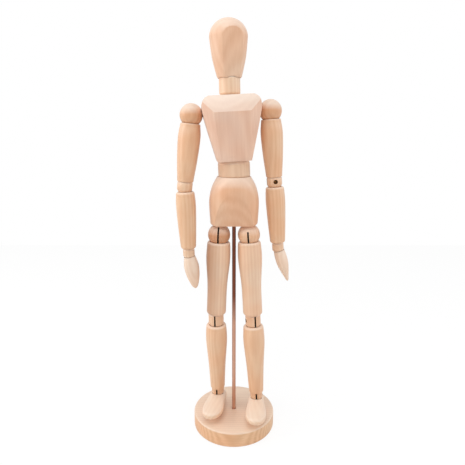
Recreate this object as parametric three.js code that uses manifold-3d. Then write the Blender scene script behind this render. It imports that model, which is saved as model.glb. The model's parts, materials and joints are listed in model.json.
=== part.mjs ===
// Wooden artist mannequin on a stand, in millimetres with +Z up.
// The figure faces -Y, so its own left side is +X. The origin is the centre of the base's underside.
// Every wooden joint is a ball held by springs between two hollowed rims: the spring from the limb above is
// hooked on a cross pin in the ball, and the spring of the limb below swings on the same pin in a saw kerf.
import * as THREE from 'three';
import { mergeVertices } from 'three/addons/utils/BufferGeometryUtils.js';
import Module from 'manifold-3d';

const wasm = await Module();
wasm.setup();

// Gap between two pieces that touch, and the plain lip that a hollowed rim keeps round its hollow
const CLEARANCE = 0.3;
const RIM_LIP = 0.5;

// Stand
const BASE_RADIUS = 34.5;
const BASE_THICKNESS = 13;
const BASE_EDGE_ROUND = 1.2;
const ROD_RADIUS = 1.5;
const ROD_IN_BASE = 9;
const ROD_IN_PELVIS = 12;
const SOLE_ABOVE_BASE = 2.1;

// Joint balls: the ball, and the barrel turned round the middle of some of them
const WAIST_BALL = 13.2;
const WAIST_BARREL = 12.35;
const NECK_BALL = 9.5;
const NECK_BARREL = 7.9;
const SHOULDER_BALL = 8.65;
const ELBOW_BALL = 6.4;
const ELBOW_BARREL = 5.95;
const WRIST_BALL = 5.2;
const WRIST_BARREL = 4.6;
const HIP_BALL = 8.9;
const KNEE_BALL = 7.5;
const KNEE_BARREL = 6.3;
const ANKLE_BALL = 5.8;
const ANKLE_BARREL = 5.3;

// Where the rims beside each ball sit on it, in degrees from the ball's middle
const PELVIS_RIM_ON_WAIST = 23.6;
const CHEST_RIM_ON_WAIST = 30.7;
const CHEST_RIM_ON_NECK = 42;
const HEAD_RIM_ON_NECK = 34;
const CHEST_RIM_ON_SHOULDER = 63;
const ARM_RIM_ON_SHOULDER = 43;
const ARM_RIM_ON_ELBOW = 33;
const FOREARM_RIM_ON_ELBOW = 40;
const FOREARM_RIM_ON_WRIST = 42;
const HAND_RIM_ON_WRIST = 40;
const PELVIS_RIM_ON_HIP = 64;
const THIGH_RIM_ON_HIP = 38;
const THIGH_RIM_ON_KNEE = 40;
const SHIN_RIM_ON_KNEE = 40;
const SHIN_RIM_ON_ANKLE = 28;
const FOOT_RIM_ON_ANKLE = 25;

// Pelvis
const PELVIS_HEIGHT = 38.2;
const PELVIS_HALF_WIDTH = 19.5;
const PELVIS_HALF_DEPTH = 15.4;
const PELVIS_FOOT_HALF_WIDTH = 18.8;
const PELVIS_WIDEST_AT = 19;
const PELVIS_TAPER = 8;
const PELVIS_CORNER = 2;
const PELVIS_LIP = 0.7;
const PELVIS_FACE_TOP = 24;
const PELVIS_FACE_SLANT = 20;
const HIP_SPACING = 11.9;
const PELVIS_PIN_HEIGHT = 20.5;
const PELVIS_PIN_HALF_LENGTH = 14.5;

// Chest, measured from its flat underside
const CHEST_HEIGHT = 48;
const CHEST_DEPTH = 30;
const CHEST_UNDER_HALF_WIDTH = 12.8;
const CHEST_MIDDLE_HALF_WIDTH = 18.9;
const CHEST_SHOULDER_HALF_WIDTH = 21.9;
const CHEST_RIDGE_HALF_WIDTH = 17;
const CHEST_MIDDLE_AT = 24;
const CHEST_SHOULDER_AT = 35.2;
const CHEST_SLOPE_DROP = 12;
const CHEST_RIDGE_DEPTH = 19;
const CHEST_UNDER_DEPTH = 27;
const CHEST_SIDE_BEVEL = 5.5;

// Head, from its rim up
const HEAD_HEIGHT = 41.3;
const HEAD_RADIUS = 14.1;
const HEAD_WIDEST_AT = 28;
const HEAD_CHEEK_RADIUS = 12.4;
const HEAD_CHEEK_AT = 14;
const FACE_AT_RIM = 8;
const FACE_LEAN = 8.2;
const JAW_AT = 10;
const JAW_LEAN = 11;

// Limbs: length from pin to pin, the swell just past each rim, and the radius at the belly and middle
const UPPER_ARM = { length: 53.4, topSwell: 0.6, belly: 8.5, middle: 7.8, bottomSwell: 0.25 };
const FOREARM = { length: 53.3, topSwell: 1.6, belly: 7.7, middle: 7.1, bottomSwell: 1.5 };
const THIGH = { length: 72.3, topSwell: 1.5, belly: 9.6, middle: 8.3, bottomSwell: 1.5 };
const SHIN = { length: 68, topSwell: 1.9, belly: 8.9, middle: 7.5, bottomSwell: 0.3 };
const LIMB_END_ROUND = 2;
const BELLY_SHARE = 0.24;
const MIDDLE_SHARE = 0.6;

// Hands and feet
const HAND_LENGTH = 30.6;
const HAND_HALF_WIDTH = 6;
const HAND_HALF_THICKNESS = 4.9;
const ANKLE_HEIGHT = 14.5;
const FOOT_HEEL = 10;
const FOOT_TOE = 30;
const FOOT_HALF_WIDTH = 8.6;
const FOOT_HEEL_HALF_WIDTH = 7;
const FOOT_NARROW_AT = 6;
const TOE_THICKNESS = 5.4;
const TOE_SPRING = 3;
const SOLE_FLAT_TO = 11;

// The hand, as shares of its length below the wrist, of its width and of its thickness
const HAND_SLICES = [
  [0.97, 0.3, 0.2], [0.87, 0.53, 0.38], [0.7, 0.8, 0.67], [0.53, 0.95, 0.92], [0.36, 1, 1],
  [0.2, 0.87, 0.96], [0.09, 0.72, 0.86],
];

// Pins, springs and bores
const PIN_RADIUS = 0.9;
const PIN_SINK = 2.6;
const PIN_WALL = 1.5;
const PIN_COUNTERBORE = 1.7;
const KERF_WIDTH = 1.3;
const KERF_SHARE = 0.4;
const HIP_KERF_SHARE = { left: 0.4, right: 0.8 };
const WIRE_RADIUS = 0.4;
const EYE_RADIUS = 1.8;
const EYE_FROM = -35;
const EYE_TO = 250;
const EYE_STEP = 57;
const HOOK_ASIDE = 1.05;
const HOOK_HOLE = 2.9;
const COIL_RADIUS = 1.7;
const LIMB_BORE = 2.6;
const TRUNK_BORE = 3.3;
const WAIST_BORE = 4.2;
const COIL_TURNS = 3;
const HOOK_LEAD = 5;
const BALL_LEAD = 1.5;
const FOOT_WIRE_DEPTH = 7;
const HAND_WIRE_DEPTH = 12;
const LINK_ASIDE = 0.85;
const HEAD_BORE_DEPTH = 16;
const CROSS_WIRE_HALF = 6;

// How round the pieces are cut
const BASE_SIDES = 32;
const TRUNK_SIDES = 20;
const LIMB_SIDES = 12;
const BALL_SIDES = 12;
const BORE_SIDES = 8;
const PIN_SIDES = 6;
const BALL_STEP = 25.7;
const CUP_STEPS = 2;
const LIMB_STEPS = 5;
const COIL_STEPS = 6;
const WIRE_STEP = 2.4;
const CURVE_STEPS = 3;

// The pose in degrees. A turn is about +Z, a lean about +Y, and a swing or bend about +X.
const POSE = {
  waistTurn: 5, chestLean: -3.1, neckTurn: 11, headLean: 1.8,
  left: {
    armLean: -1.4, elbowTurn: 0, forearmLean: 0.2, wristTurn: 0, handBend: -12.5, leafTurn: 80,
    thighLean: -3.3, thighSwing: -1.5, hipTurn: -6, kneeTurn: 21, shinLean: 0.2, kneeBend: 0,
    footTurn: -4, ankleTurn: -2,
  },
  right: {
    armLean: 9.6, elbowTurn: 0, forearmLean: -8.6, wristTurn: 0, handBend: -7, leafTurn: 0,
    thighLean: 2.4, thighSwing: 0.4, hipTurn: -4, kneeTurn: -4, shinLean: -2.7, kneeBend: 2.5,
    footTurn: -12, ankleTurn: -8,
  },
};
const TOE_UP = 3;

// How far each joint goes from the pose, in degrees. The arms hang close to the trunk and legs, and the feet
// stand close to the base, so what they would meet first limits some of them.
const RANGE = {
  waistTurn: [-60, 60], waistLean: [-3, 5], chestBow: [-18, 18],
  neckTurn: [-75, 75], neckLean: [-20, 20], headNod: [-20, 20],
  left: {
    armLift: [0, 70], elbowTurn: [-90, 90], elbowBend: [-8, 50], wristTurn: [-90, 90], handBend: [-12, 25],
    legTurn: [-10, 45], legSpread: [-2, 20], legSwing: [-25, 70], kneeTurn: [-18, 40], kneeBend: [0, 60],
    ankleTurn: [-12, 40], footBend: [-14, 6],
  },
  right: {
    armLift: [0, 70], elbowTurn: [-90, 90], elbowBend: [-3, 50], wristTurn: [-90, 90], handBend: [-12, 25],
    legTurn: [-10, 45], legSpread: [-2, 8], legSwing: [-25, 70], kneeTurn: [-18, 40], kneeBend: [0, 60],
    ankleTurn: [-12, 40], footBend: [-14, 6],
  },
};

const SIDES = { left: 1, right: -1 };
const X = new THREE.Vector3(1, 0, 0);
const Y = new THREE.Vector3(0, 1, 0);
const Z = new THREE.Vector3(0, 0, 1);
const radians = THREE.MathUtils.degToRad;
const sine = (degrees) => Math.sin(radians(degrees));
const cosine = (degrees) => Math.cos(radians(degrees));
const at = (x, y, z) => new THREE.Vector3(x, y, z);
const flat = (x, y) => new THREE.Vector2(x, y);

// Finishes: sanded pale hardwood, slightly warmer balls, a copper-brown rod and bright spring steel
const BODY_WOOD = { color: 0xe9cba6, roughness: 0.6, metalness: 0 };
const JOINT_WOOD = { color: 0xe0bb91, roughness: 0.62, metalness: 0 };
const ROD_METAL = { color: 0x7c4a31, roughness: 0.35, metalness: 0.9 };
const STEEL = { color: 0xb9bcc0, roughness: 0.3, metalness: 1 };

// Solids

function solidOf(geometry) {
  const bare = new THREE.BufferGeometry();
  bare.setAttribute('position', geometry.getAttribute('position'));
  bare.setIndex(geometry.getIndex());
  const welded = mergeVertices(bare);
  const corners = welded.getIndex().array;
  const kept = [];
  for (let i = 0; i < corners.length; i += 3) {
    const [a, b, c] = corners.slice(i, i + 3);
    if (a !== b && b !== c && c !== a) kept.push(a, b, c);
  }
  return new wasm.Manifold(new wasm.Mesh({
    numProp: 3,
    vertProperties: new Float32Array(welded.getAttribute('position').array),
    triVerts: new Uint32Array(kept),
  }));
}

function geometryOf(solid) {
  const mesh = solid.getMesh();
  const geometry = new THREE.BufferGeometry();
  geometry.setAttribute('position', new THREE.BufferAttribute(mesh.vertProperties, 3));
  geometry.setIndex(new THREE.BufferAttribute(mesh.triVerts, 1));
  return geometry;
}

// A blank with every cutter taken away from it
function carved(blank, cutters) {
  let solid = solidOf(blank);
  for (const cutter of cutters) solid = solid.subtract(solidOf(cutter));
  return geometryOf(solid);
}

function shared(first, second) {
  return geometryOf(solidOf(first).intersect(solidOf(second)));
}

function addPiece(parent, name, geometry, finish) {
  const mesh = new THREE.Mesh(geometryOf(solidOf(geometry)), new THREE.MeshStandardMaterial(finish));
  mesh.name = name;
  parent.add(mesh);
  return mesh;
}

// A turned solid. The outline runs counter-clockwise, as (radius, height).
function turned(outline, sides) {
  return new THREE.LatheGeometry(outline, sides).rotateX(Math.PI / 2);
}

// A round bar along an axis, from one distance to another
function bar(axis, from, to, radius, sides) {
  const geometry = new THREE.CylinderGeometry(radius, radius, to - from, sides);
  geometry.translate(0, (from + to) / 2, 0);
  geometry.applyQuaternion(new THREE.Quaternion().setFromUnitVectors(Y, axis));
  return geometry;
}

// A ball cutter whose flats stay outside the radius
function ballCutter(radius, centre, sides) {
  const grown = radius / cosine(180 / sides);
  return new THREE.SphereGeometry(grown, sides, sides / 2).rotateX(Math.PI / 2).translate(...centre.toArray());
}

// An outline drawn in two axes, pushed equally far both ways along the third
function pushed(shape, depth, axis, bevel = 0) {
  const geometry = new THREE.ExtrudeGeometry(shape, {
    depth: depth - 2 * bevel,
    bevelEnabled: bevel > 0,
    bevelThickness: bevel,
    bevelSize: bevel,
    bevelOffset: -bevel,
    bevelSegments: 2,
    curveSegments: CURVE_STEPS,
  });
  geometry.translate(0, 0, bevel - depth / 2);
  const frames = {
    x: [Y, Z, X],
    y: [X, Z, Y.clone().negate()],
    z: [X, Y, Z],
  };
  return geometry.applyMatrix4(new THREE.Matrix4().makeBasis(...frames[axis]));
}

// Ball joints

const hollow = (ball) => ball + CLEARANCE;
const rimDrop = (ball, rim) => hollow(ball) * sine(rim);
const rimEdge = (ball, rim) => hollow(ball) * cosine(rim);
const rimRadius = (ball, rim) => rimEdge(ball, rim) + RIM_LIP;

// Points of a hollow below (-1) or above (+1) the middle of its ball, from the rim in to the bore
function hollowArc(ball, rim, bore, side) {
  const radius = hollow(ball);
  const last = THREE.MathUtils.radToDeg(Math.acos(bore / radius));
  const points = [];
  for (let i = 0; i <= CUP_STEPS; i += 1) {
    const angle = THREE.MathUtils.lerp(rim, last, i / CUP_STEPS);
    points.push(flat(radius * cosine(angle), side * radius * sine(angle)));
  }
  return points;
}

// Right half of a ball's outline with its barrel, between two angles, from the bottom up
function ballOutline(ball, barrel, from, to) {
  const points = [];
  const steps = Math.round((to - from) / BALL_STEP);
  for (let i = 0; i <= steps; i += 1) {
    const angle = THREE.MathUtils.lerp(from, to, i / steps);
    points.push(flat(Math.max(0, Math.min(barrel, ball * cosine(angle))), ball * sine(angle)));
  }
  return points;
}

function plainBall(ball, barrel) {
  return turned(ballOutline(ball, barrel, -90, 90), BALL_SIDES);
}

// A ball or barrel bored right through, for a spring to pass
function boredBall(ball, barrel, bore, sides) {
  const limit = THREE.MathUtils.radToDeg(Math.acos(bore / ball));
  const outline = ballOutline(ball, barrel, -limit, limit);
  return turned([...outline, outline[0].clone()], sides);
}

// A ball with its pin hole, the hook hole from the limb above and the kerf for the limb below
function kerfedBall(ball, barrel, pinAxis, pinEntry, hookAxis, kerfShare = KERF_SHARE) {
  const kerfRise = ball * kerfShare;
  const reach = 2 * ball + 2;
  const kerfHeight = kerfRise + ball + 1;
  const kerfDepth = pinAxis === X ? [KERF_WIDTH, reach] : [reach, KERF_WIDTH];
  const kerf = new THREE.BoxGeometry(...kerfDepth, kerfHeight).translate(0, 0, kerfRise - kerfHeight / 2);
  const entry = pinAxis.clone().multiplyScalar(pinEntry);
  const hole = PIN_RADIUS + CLEARANCE;
  const hookDepth = EYE_RADIUS + WIRE_RADIUS + CLEARANCE;
  return carved(plainBall(ball, barrel), [
    kerf,
    bar(hookAxis, -hookDepth, ball + 1, HOOK_HOLE, BORE_SIDES),
    bar(entry, PIN_WALL - barrel, ball, hole, PIN_SIDES),
    bar(entry, barrel - PIN_SINK, ball + 1, PIN_COUNTERBORE, PIN_SIDES),
  ]);
}

function crossPin(barrel, pinAxis, pinEntry) {
  const entry = pinAxis.clone().multiplyScalar(pinEntry);
  return bar(entry, PIN_WALL - barrel + CLEARANCE, barrel - PIN_SINK, PIN_RADIUS, PIN_SIDES);
}

// Springs and wires

// A wire of four sides along a smooth line through the points
function wire(points) {
  const line = new THREE.CatmullRomCurve3(points);
  const section = new THREE.Shape();
  section.moveTo(WIRE_RADIUS, 0);
  section.lineTo(0, WIRE_RADIUS);
  section.lineTo(-WIRE_RADIUS, 0);
  section.lineTo(0, -WIRE_RADIUS);
  const steps = Math.round(line.getLength() / WIRE_STEP);
  return new THREE.ExtrudeGeometry(section, { steps, extrudePath: line, bevelEnabled: false });
}

// An open eye round a pin, in the order from its free end to where it leaves for the coil below it
function eyePoints(axis, aside, height) {
  const across = axis === X ? Y : X;
  const points = [];
  for (let angle = EYE_FROM; angle <= EYE_TO; angle += EYE_STEP) {
    const point = at(0, 0, height + EYE_RADIUS * sine(angle));
    point.addScaledVector(axis, aside).addScaledVector(across, EYE_RADIUS * cosine(angle));
    points.push(point);
  }
  return points;
}

function coilPoints(top, bottom, turns) {
  const points = [];
  for (let i = 0; i <= turns * COIL_STEPS; i += 1) {
    const angle = (360 / COIL_STEPS) * i;
    const height = THREE.MathUtils.lerp(top, bottom, i / (turns * COIL_STEPS));
    points.push(at(COIL_RADIUS * cosine(angle), COIL_RADIUS * sine(angle), height));
  }
  return points;
}

// The same eye at the lower end of a spring, turned about Z with the ball whose pin it holds
function lowerEyePoints(end) {
  const points = eyePoints(end.axis, end.aside, -end.height).reverse();
  for (const point of points) point.setZ(-point.z).applyQuaternion(about(Z, end.turn));
  return points;
}

// A tension spring along Z: an eye at each end, a straight lead and the coil between the leads
function springPoints(upper, lower) {
  const coilTop = upper.height - upper.lead;
  const coil = coilPoints(coilTop, lower.height + lower.lead, COIL_TURNS);
  const lead = at(0, 0, coilTop + BALL_LEAD).addScaledVector(upper.axis, upper.aside);
  return [...eyePoints(upper.axis, upper.aside, upper.height), lead, ...coil, ...lowerEyePoints(lower)];
}

function eyeWire(axis, height, length) {
  return wire([...eyePoints(axis, 0, height), at(0, 0, height - HOOK_LEAD), at(0, 0, height - length)]);
}

// Bends the points above a height by the rest turn of the joint that is there
function bentAbove(points, height, turn) {
  const pivot = at(0, 0, height);
  for (const point of points) {
    if (point.z > height) point.sub(pivot).applyQuaternion(turn).add(pivot);
  }
  return points;
}

// Joints

// A group that moves as one body. It keeps the joint's axis, in its parent's frame, and its range.
function jointed(parent, body, joint, kind, place, axis, range, rest = new THREE.Quaternion()) {
  const group = new THREE.Group();
  group.name = body;
  group.position.copy(place);
  group.quaternion.copy(rest);
  group.userData = { joint, kind, axis: axis.toArray(), range };
  parent.add(group);
  return group;
}

const about = (axis, degrees) => new THREE.Quaternion().setFromAxisAngle(axis, radians(degrees));
const turnThenLean = (turn, lean) => about(Y, lean).multiply(about(Z, turn));

// Limbs

// A turned and bored limb that hangs from the ball at its origin to the ball at its lower end
function limb(size, upper, lower) {
  const { length, topSwell, belly, middle, bottomSwell } = size;
  const topEdge = -rimDrop(upper.ball, upper.rim);
  const bottomEdge = rimDrop(lower.ball, lower.rim) - length;
  const topRim = rimRadius(upper.ball, upper.rim);
  const bottomRim = rimRadius(lower.ball, lower.rim);
  const down = (share) => THREE.MathUtils.lerp(topEdge, bottomEdge, share);
  const outside = new THREE.SplineCurve([
    flat(bottomRim + bottomSwell, bottomEdge + LIMB_END_ROUND),
    flat(middle, down(MIDDLE_SHARE)),
    flat(belly, down(BELLY_SHARE)),
    flat(topRim + topSwell, topEdge - LIMB_END_ROUND),
  ]);
  const lowerHollow = hollowArc(lower.ball, lower.rim, LIMB_BORE, 1).reverse();
  for (const point of lowerHollow) point.y -= length;
  const outline = [
    flat(bottomRim, bottomEdge),
    ...outside.getPoints(LIMB_STEPS),
    flat(topRim, topEdge),
    ...hollowArc(upper.ball, upper.rim, LIMB_BORE, -1),
    ...lowerHollow,
    flat(bottomRim, bottomEdge),
  ];
  return turned(outline, LIMB_SIDES);
}

// A limb's spring, from its eye in the kerf of the upper ball to its hook on the pin of the lower ball
function limbSpring(length, axis, upperBall, aside, turn) {
  const upper = { axis, aside: 0, height: 0, lead: upperBall + BALL_LEAD };
  const lower = { axis, aside, height: -length, lead: HOOK_LEAD, turn };
  return wire(springPoints(upper, lower));
}

// Stand

function baseDisc() {
  const r = BASE_RADIUS;
  const round = BASE_EDGE_ROUND;
  const half = round * (1 - Math.SQRT1_2);
  const hole = ROD_RADIUS + CLEARANCE;
  const top = BASE_THICKNESS;
  return turned([
    flat(0, 0),
    flat(r - round, 0),
    flat(r - half, half),
    flat(r, round),
    flat(r, top - round),
    flat(r - half, top - half),
    flat(r - round, top),
    flat(hole, top),
    flat(hole, top - ROD_IN_BASE),
    flat(0, top - ROD_IN_BASE),
  ], BASE_SIDES);
}

function standRod(from, to) {
  const chamfer = ROD_RADIUS / 3;
  return turned([
    flat(0, from),
    flat(ROD_RADIUS - chamfer, from),
    flat(ROD_RADIUS, from + chamfer),
    flat(ROD_RADIUS, to - chamfer),
    flat(ROD_RADIUS - chamfer, to),
    flat(0, to),
  ], BORE_SIDES);
}

// Trunk. The pelvis frame is midway between the hip balls.

const PELVIS_UNDER = rimDrop(HIP_BALL, PELVIS_RIM_ON_HIP);
const PELVIS_TOP = PELVIS_UNDER + PELVIS_HEIGHT;
const WAIST_PIVOT = PELVIS_TOP + rimDrop(WAIST_BALL, PELVIS_RIM_ON_WAIST);
const PELVIS_PIN_AT = PELVIS_UNDER + PELVIS_PIN_HEIGHT;
const CHEST_UNDER = rimDrop(WAIST_BALL, CHEST_RIM_ON_WAIST);
const CHEST_TOP = CHEST_UNDER + CHEST_HEIGHT;
const SHOULDER_HEIGHT = CHEST_UNDER + CHEST_SHOULDER_AT;
const SHOULDER_REACH = CHEST_SHOULDER_HALF_WIDTH + rimDrop(SHOULDER_BALL, CHEST_RIM_ON_SHOULDER);
const NECK_PIVOT = CHEST_TOP + rimDrop(NECK_BALL, CHEST_RIM_ON_NECK);
const HEAD_UNDER = rimDrop(NECK_BALL, HEAD_RIM_ON_NECK);

// A turned block, flattened towards its middle and sawn to a slanted flat in front
function pelvisBlock() {
  const topRadius = rimEdge(WAIST_BALL, PELVIS_RIM_ON_WAIST) + PELVIS_LIP;
  const side = new THREE.SplineCurve([
    flat(PELVIS_FOOT_HALF_WIDTH, PELVIS_UNDER + PELVIS_CORNER),
    flat(PELVIS_HALF_WIDTH, PELVIS_UNDER + PELVIS_WIDEST_AT),
    flat((PELVIS_HALF_WIDTH + topRadius) / 2 + 1, PELVIS_TOP - PELVIS_TAPER),
    flat(topRadius, PELVIS_TOP),
  ]);
  const block = turned([
    flat(0, PELVIS_UNDER),
    flat(PELVIS_FOOT_HALF_WIDTH - PELVIS_CORNER, PELVIS_UNDER),
    ...side.getPoints(7),
    flat(0, PELVIS_TOP),
  ], TRUNK_SIDES);
  const flattest = PELVIS_HALF_DEPTH / PELVIS_HALF_WIDTH;
  const places = block.getAttribute('position');
  for (let i = 0; i < places.count; i += 1) {
    const share = THREE.MathUtils.smoothstep(places.getZ(i), PELVIS_UNDER + PELVIS_WIDEST_AT, PELVIS_TOP);
    places.setY(i, places.getY(i) * THREE.MathUtils.lerp(flattest, 1, share));
  }
  const reach = 4 * PELVIS_HALF_WIDTH;
  const face = new THREE.BoxGeometry(reach, reach, reach).translate(0, -reach / 2, 0);
  face.rotateX(radians(PELVIS_FACE_SLANT));
  face.translate(0, -PELVIS_HALF_DEPTH, PELVIS_UNDER + PELVIS_FACE_TOP);
  const pinHole = bar(X, -PELVIS_PIN_HALF_LENGTH - CLEARANCE, reach, PIN_RADIUS + CLEARANCE, PIN_SIDES);
  const cutters = [
    face,
    pinHole.translate(0, 0, PELVIS_PIN_AT),
    ballCutter(hollow(WAIST_BALL), at(0, 0, WAIST_PIVOT), TRUNK_SIDES),
    bar(Z, 0, PELVIS_UNDER + ROD_IN_PELVIS, ROD_RADIUS + CLEARANCE, BORE_SIDES),
    bar(Z, PELVIS_PIN_AT - HOOK_LEAD, PELVIS_TOP, TRUNK_BORE, BORE_SIDES),
  ];
  for (const side of [-HIP_SPACING, HIP_SPACING]) {
    const bore = bar(Z, 0, PELVIS_PIN_AT + HOOK_LEAD, LIMB_BORE + CLEARANCE, BORE_SIDES).translate(side, 0, 0);
    cutters.push(ballCutter(hollow(HIP_BALL), at(side, 0, 0), BALL_SIDES), bore);
  }
  return carved(block, cutters);
}

// The chest is sawn from a block: a front outline with bevelled edges, cut again to its side outline
function chestBlock() {
  const right = [
    flat(CHEST_UNDER_HALF_WIDTH - 1, CHEST_UNDER - CHEST_SIDE_BEVEL),
    flat(CHEST_UNDER_HALF_WIDTH, CHEST_UNDER),
    flat(CHEST_MIDDLE_HALF_WIDTH, CHEST_UNDER + CHEST_MIDDLE_AT),
    flat(CHEST_SHOULDER_HALF_WIDTH - 0.6, CHEST_UNDER + CHEST_SHOULDER_AT - 1),
    flat(CHEST_SHOULDER_HALF_WIDTH, CHEST_UNDER + CHEST_SHOULDER_AT + 5),
    flat((CHEST_SHOULDER_HALF_WIDTH + CHEST_RIDGE_HALF_WIDTH) / 2 + 1.5, CHEST_TOP - 3),
    flat(CHEST_RIDGE_HALF_WIDTH, CHEST_TOP),
  ];
  const left = right.map((point) => flat(-point.x, point.y)).reverse();
  const front = pushed(new THREE.Shape([...right, ...left]), CHEST_DEPTH, 'y', CHEST_SIDE_BEVEL);
  const slopeFoot = CHEST_TOP - CHEST_SLOPE_DROP;
  const frontSide = [
    flat(-CHEST_UNDER_DEPTH / 2, CHEST_UNDER),
    flat(-CHEST_DEPTH / 2, slopeFoot),
    flat(-CHEST_RIDGE_DEPTH / 2, CHEST_TOP),
  ];
  const backSide = frontSide.map((point) => flat(-point.x, point.y));
  const outline = [backSide[0], backSide[1], backSide[2], frontSide[2], frontSide[1], frontSide[0]];
  const side = pushed(new THREE.Shape(outline), 3 * CHEST_SHOULDER_HALF_WIDTH, 'x');
  const block = shared(front, side);
  const cutters = [
    ballCutter(hollow(WAIST_BALL), at(0, 0, 0), TRUNK_SIDES),
    ballCutter(hollow(NECK_BALL), at(0, 0, NECK_PIVOT), BALL_SIDES + 4),
    bar(Z, 0, CHEST_TOP, TRUNK_BORE, BORE_SIDES),
    bar(X, -SHOULDER_REACH, SHOULDER_REACH, HOOK_HOLE, BORE_SIDES).translate(0, 0, SHOULDER_HEIGHT),
  ];
  for (const reach of [-SHOULDER_REACH, SHOULDER_REACH]) {
    cutters.push(ballCutter(hollow(SHOULDER_BALL), at(reach, 0, SHOULDER_HEIGHT), BALL_SIDES + 4));
  }
  return carved(block, cutters);
}

// An egg turned with its hollow and bore, then sawn flat for the face, and steeper below the jaw
function headEgg() {
  const rim = rimRadius(NECK_BALL, HEAD_RIM_ON_NECK);
  const top = HEAD_UNDER + HEAD_HEIGHT;
  const crown = HEAD_UNDER + HEAD_WIDEST_AT;
  const side = new THREE.SplineCurve([
    flat(rim + 0.6, HEAD_UNDER + 1),
    flat(HEAD_CHEEK_RADIUS, HEAD_UNDER + HEAD_CHEEK_AT),
    flat(HEAD_RADIUS, crown),
  ]);
  const dome = [];
  for (let angle = 20; angle < 90; angle += 18) {
    dome.push(flat(HEAD_RADIUS * cosine(angle), crown + (top - crown) * sine(angle)));
  }
  const bore = TRUNK_BORE - CLEARANCE;
  const hollowEdge = hollowArc(NECK_BALL, HEAD_RIM_ON_NECK, bore, 1).reverse();
  const egg = turned([
    flat(0, HEAD_UNDER + HEAD_BORE_DEPTH),
    flat(bore, HEAD_UNDER + HEAD_BORE_DEPTH),
    ...hollowEdge,
    flat(rim, HEAD_UNDER),
    ...side.getPoints(5),
    ...dome,
    flat(0, top),
  ], TRUNK_SIDES);
  const reach = 4 * HEAD_RADIUS;
  const sawn = (lean) => new THREE.BoxGeometry(reach, reach, 2 * reach).translate(0, -reach / 2, 0)
    .rotateX(radians(lean));
  const face = sawn(FACE_LEAN).translate(0, -FACE_AT_RIM, HEAD_UNDER);
  const faceAtJaw = FACE_AT_RIM + JAW_AT * Math.tan(radians(FACE_LEAN));
  const jaw = sawn(JAW_LEAN).translate(0, -faceAtJaw, HEAD_UNDER + JAW_AT);
  return carved(egg, [face, jaw]);
}

// Hands and feet

// A carved leaf with no fingers, thick at the heel of the hand, hollowed at its top to seat on the wrist
function mitten(heading) {
  const outline = HAND_SLICES.map(([down]) => flat(1, -down * HAND_LENGTH));
  const leaf = turned([
    flat(0, -HAND_LENGTH),
    ...outline,
    flat(0, outline[outline.length - 1].y),
  ], LIMB_SIDES);
  const places = leaf.getAttribute('position');
  for (let i = 0; i < places.count; i += 1) {
    const slice = outline.findIndex((point) => Math.abs(point.y - places.getZ(i)) < CLEARANCE);
    const [, widthShare, thicknessShare] = HAND_SLICES[Math.max(slice, 0)];
    places.setX(i, places.getX(i) * widthShare * HAND_HALF_WIDTH);
    places.setY(i, places.getY(i) * thicknessShare * HAND_HALF_THICKNESS);
  }
  return carved(leaf.rotateZ(radians(heading)), [
    ballCutter(hollow(WRIST_BALL), at(0, 0, 0), BALL_SIDES + 4),
    bar(Z, -HAND_WIRE_DEPTH - CLEARANCE, 0, WIRE_RADIUS + CLEARANCE, PIN_SIDES),
  ]);
}

// A foot: its side outline with a toe that springs up, cut again to the outline of its sole
function footBlock() {
  const seat = -rimDrop(ANKLE_BALL, FOOT_RIM_ON_ANKLE);
  const seatHalf = rimRadius(ANKLE_BALL, FOOT_RIM_ON_ANKLE);
  const sole = -ANKLE_HEIGHT;
  const toeUnder = sole + TOE_SPRING;
  const heelRound = 3;
  const profile = new THREE.Shape();
  profile.moveTo(FOOT_HEEL - heelRound, sole);
  profile.quadraticCurveTo(FOOT_HEEL, sole, FOOT_HEEL, sole + heelRound);
  profile.quadraticCurveTo(FOOT_HEEL, seat, seatHalf, seat);
  profile.lineTo(-seatHalf, seat);
  const toeOver = toeUnder + TOE_THICKNESS;
  profile.quadraticCurveTo(-FOOT_TOE * 0.6, toeOver + 1, 1 - FOOT_TOE, toeOver);
  profile.quadraticCurveTo(-FOOT_TOE - 0.5, toeUnder + TOE_THICKNESS / 2, 1 - FOOT_TOE, toeUnder);
  profile.quadraticCurveTo(-FOOT_TOE * 0.7, sole, -SOLE_FLAT_TO, sole);
  const wide = FOOT_HALF_WIDTH;
  const heel = FOOT_HEEL_HALF_WIDTH;
  const plan = new THREE.Shape();
  plan.moveTo(-heel, 0);
  plan.bezierCurveTo(-heel, -FOOT_NARROW_AT, -wide, -FOOT_TOE * 0.35, -wide, -FOOT_TOE * 0.55);
  plan.bezierCurveTo(-wide, -FOOT_TOE * 0.85, -wide / 2, -FOOT_TOE, 0, -FOOT_TOE);
  plan.bezierCurveTo(wide / 2, -FOOT_TOE, wide, -FOOT_TOE * 0.85, wide, -FOOT_TOE * 0.55);
  plan.bezierCurveTo(wide, -FOOT_TOE * 0.35, heel, -FOOT_NARROW_AT, heel, 0);
  plan.bezierCurveTo(heel, FOOT_HEEL * 0.8, heel * 0.6, FOOT_HEEL, 0, FOOT_HEEL);
  plan.bezierCurveTo(-heel * 0.6, FOOT_HEEL, -heel, FOOT_HEEL * 0.8, -heel, 0);
  const blank = shared(pushed(profile, 4 * wide, 'x'), pushed(plan, 4 * ANKLE_HEIGHT, 'z'));
  return carved(blank, [ballCutter(hollow(ANKLE_BALL), at(0, 0, 0), BALL_SIDES + 4)]);
}

// Assembly

const mannequin = new THREE.Group();
mannequin.name = 'mannequin';
mannequin.userData = { body: 'base' };
addPiece(mannequin, 'base', baseDisc(), BODY_WOOD);

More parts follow.
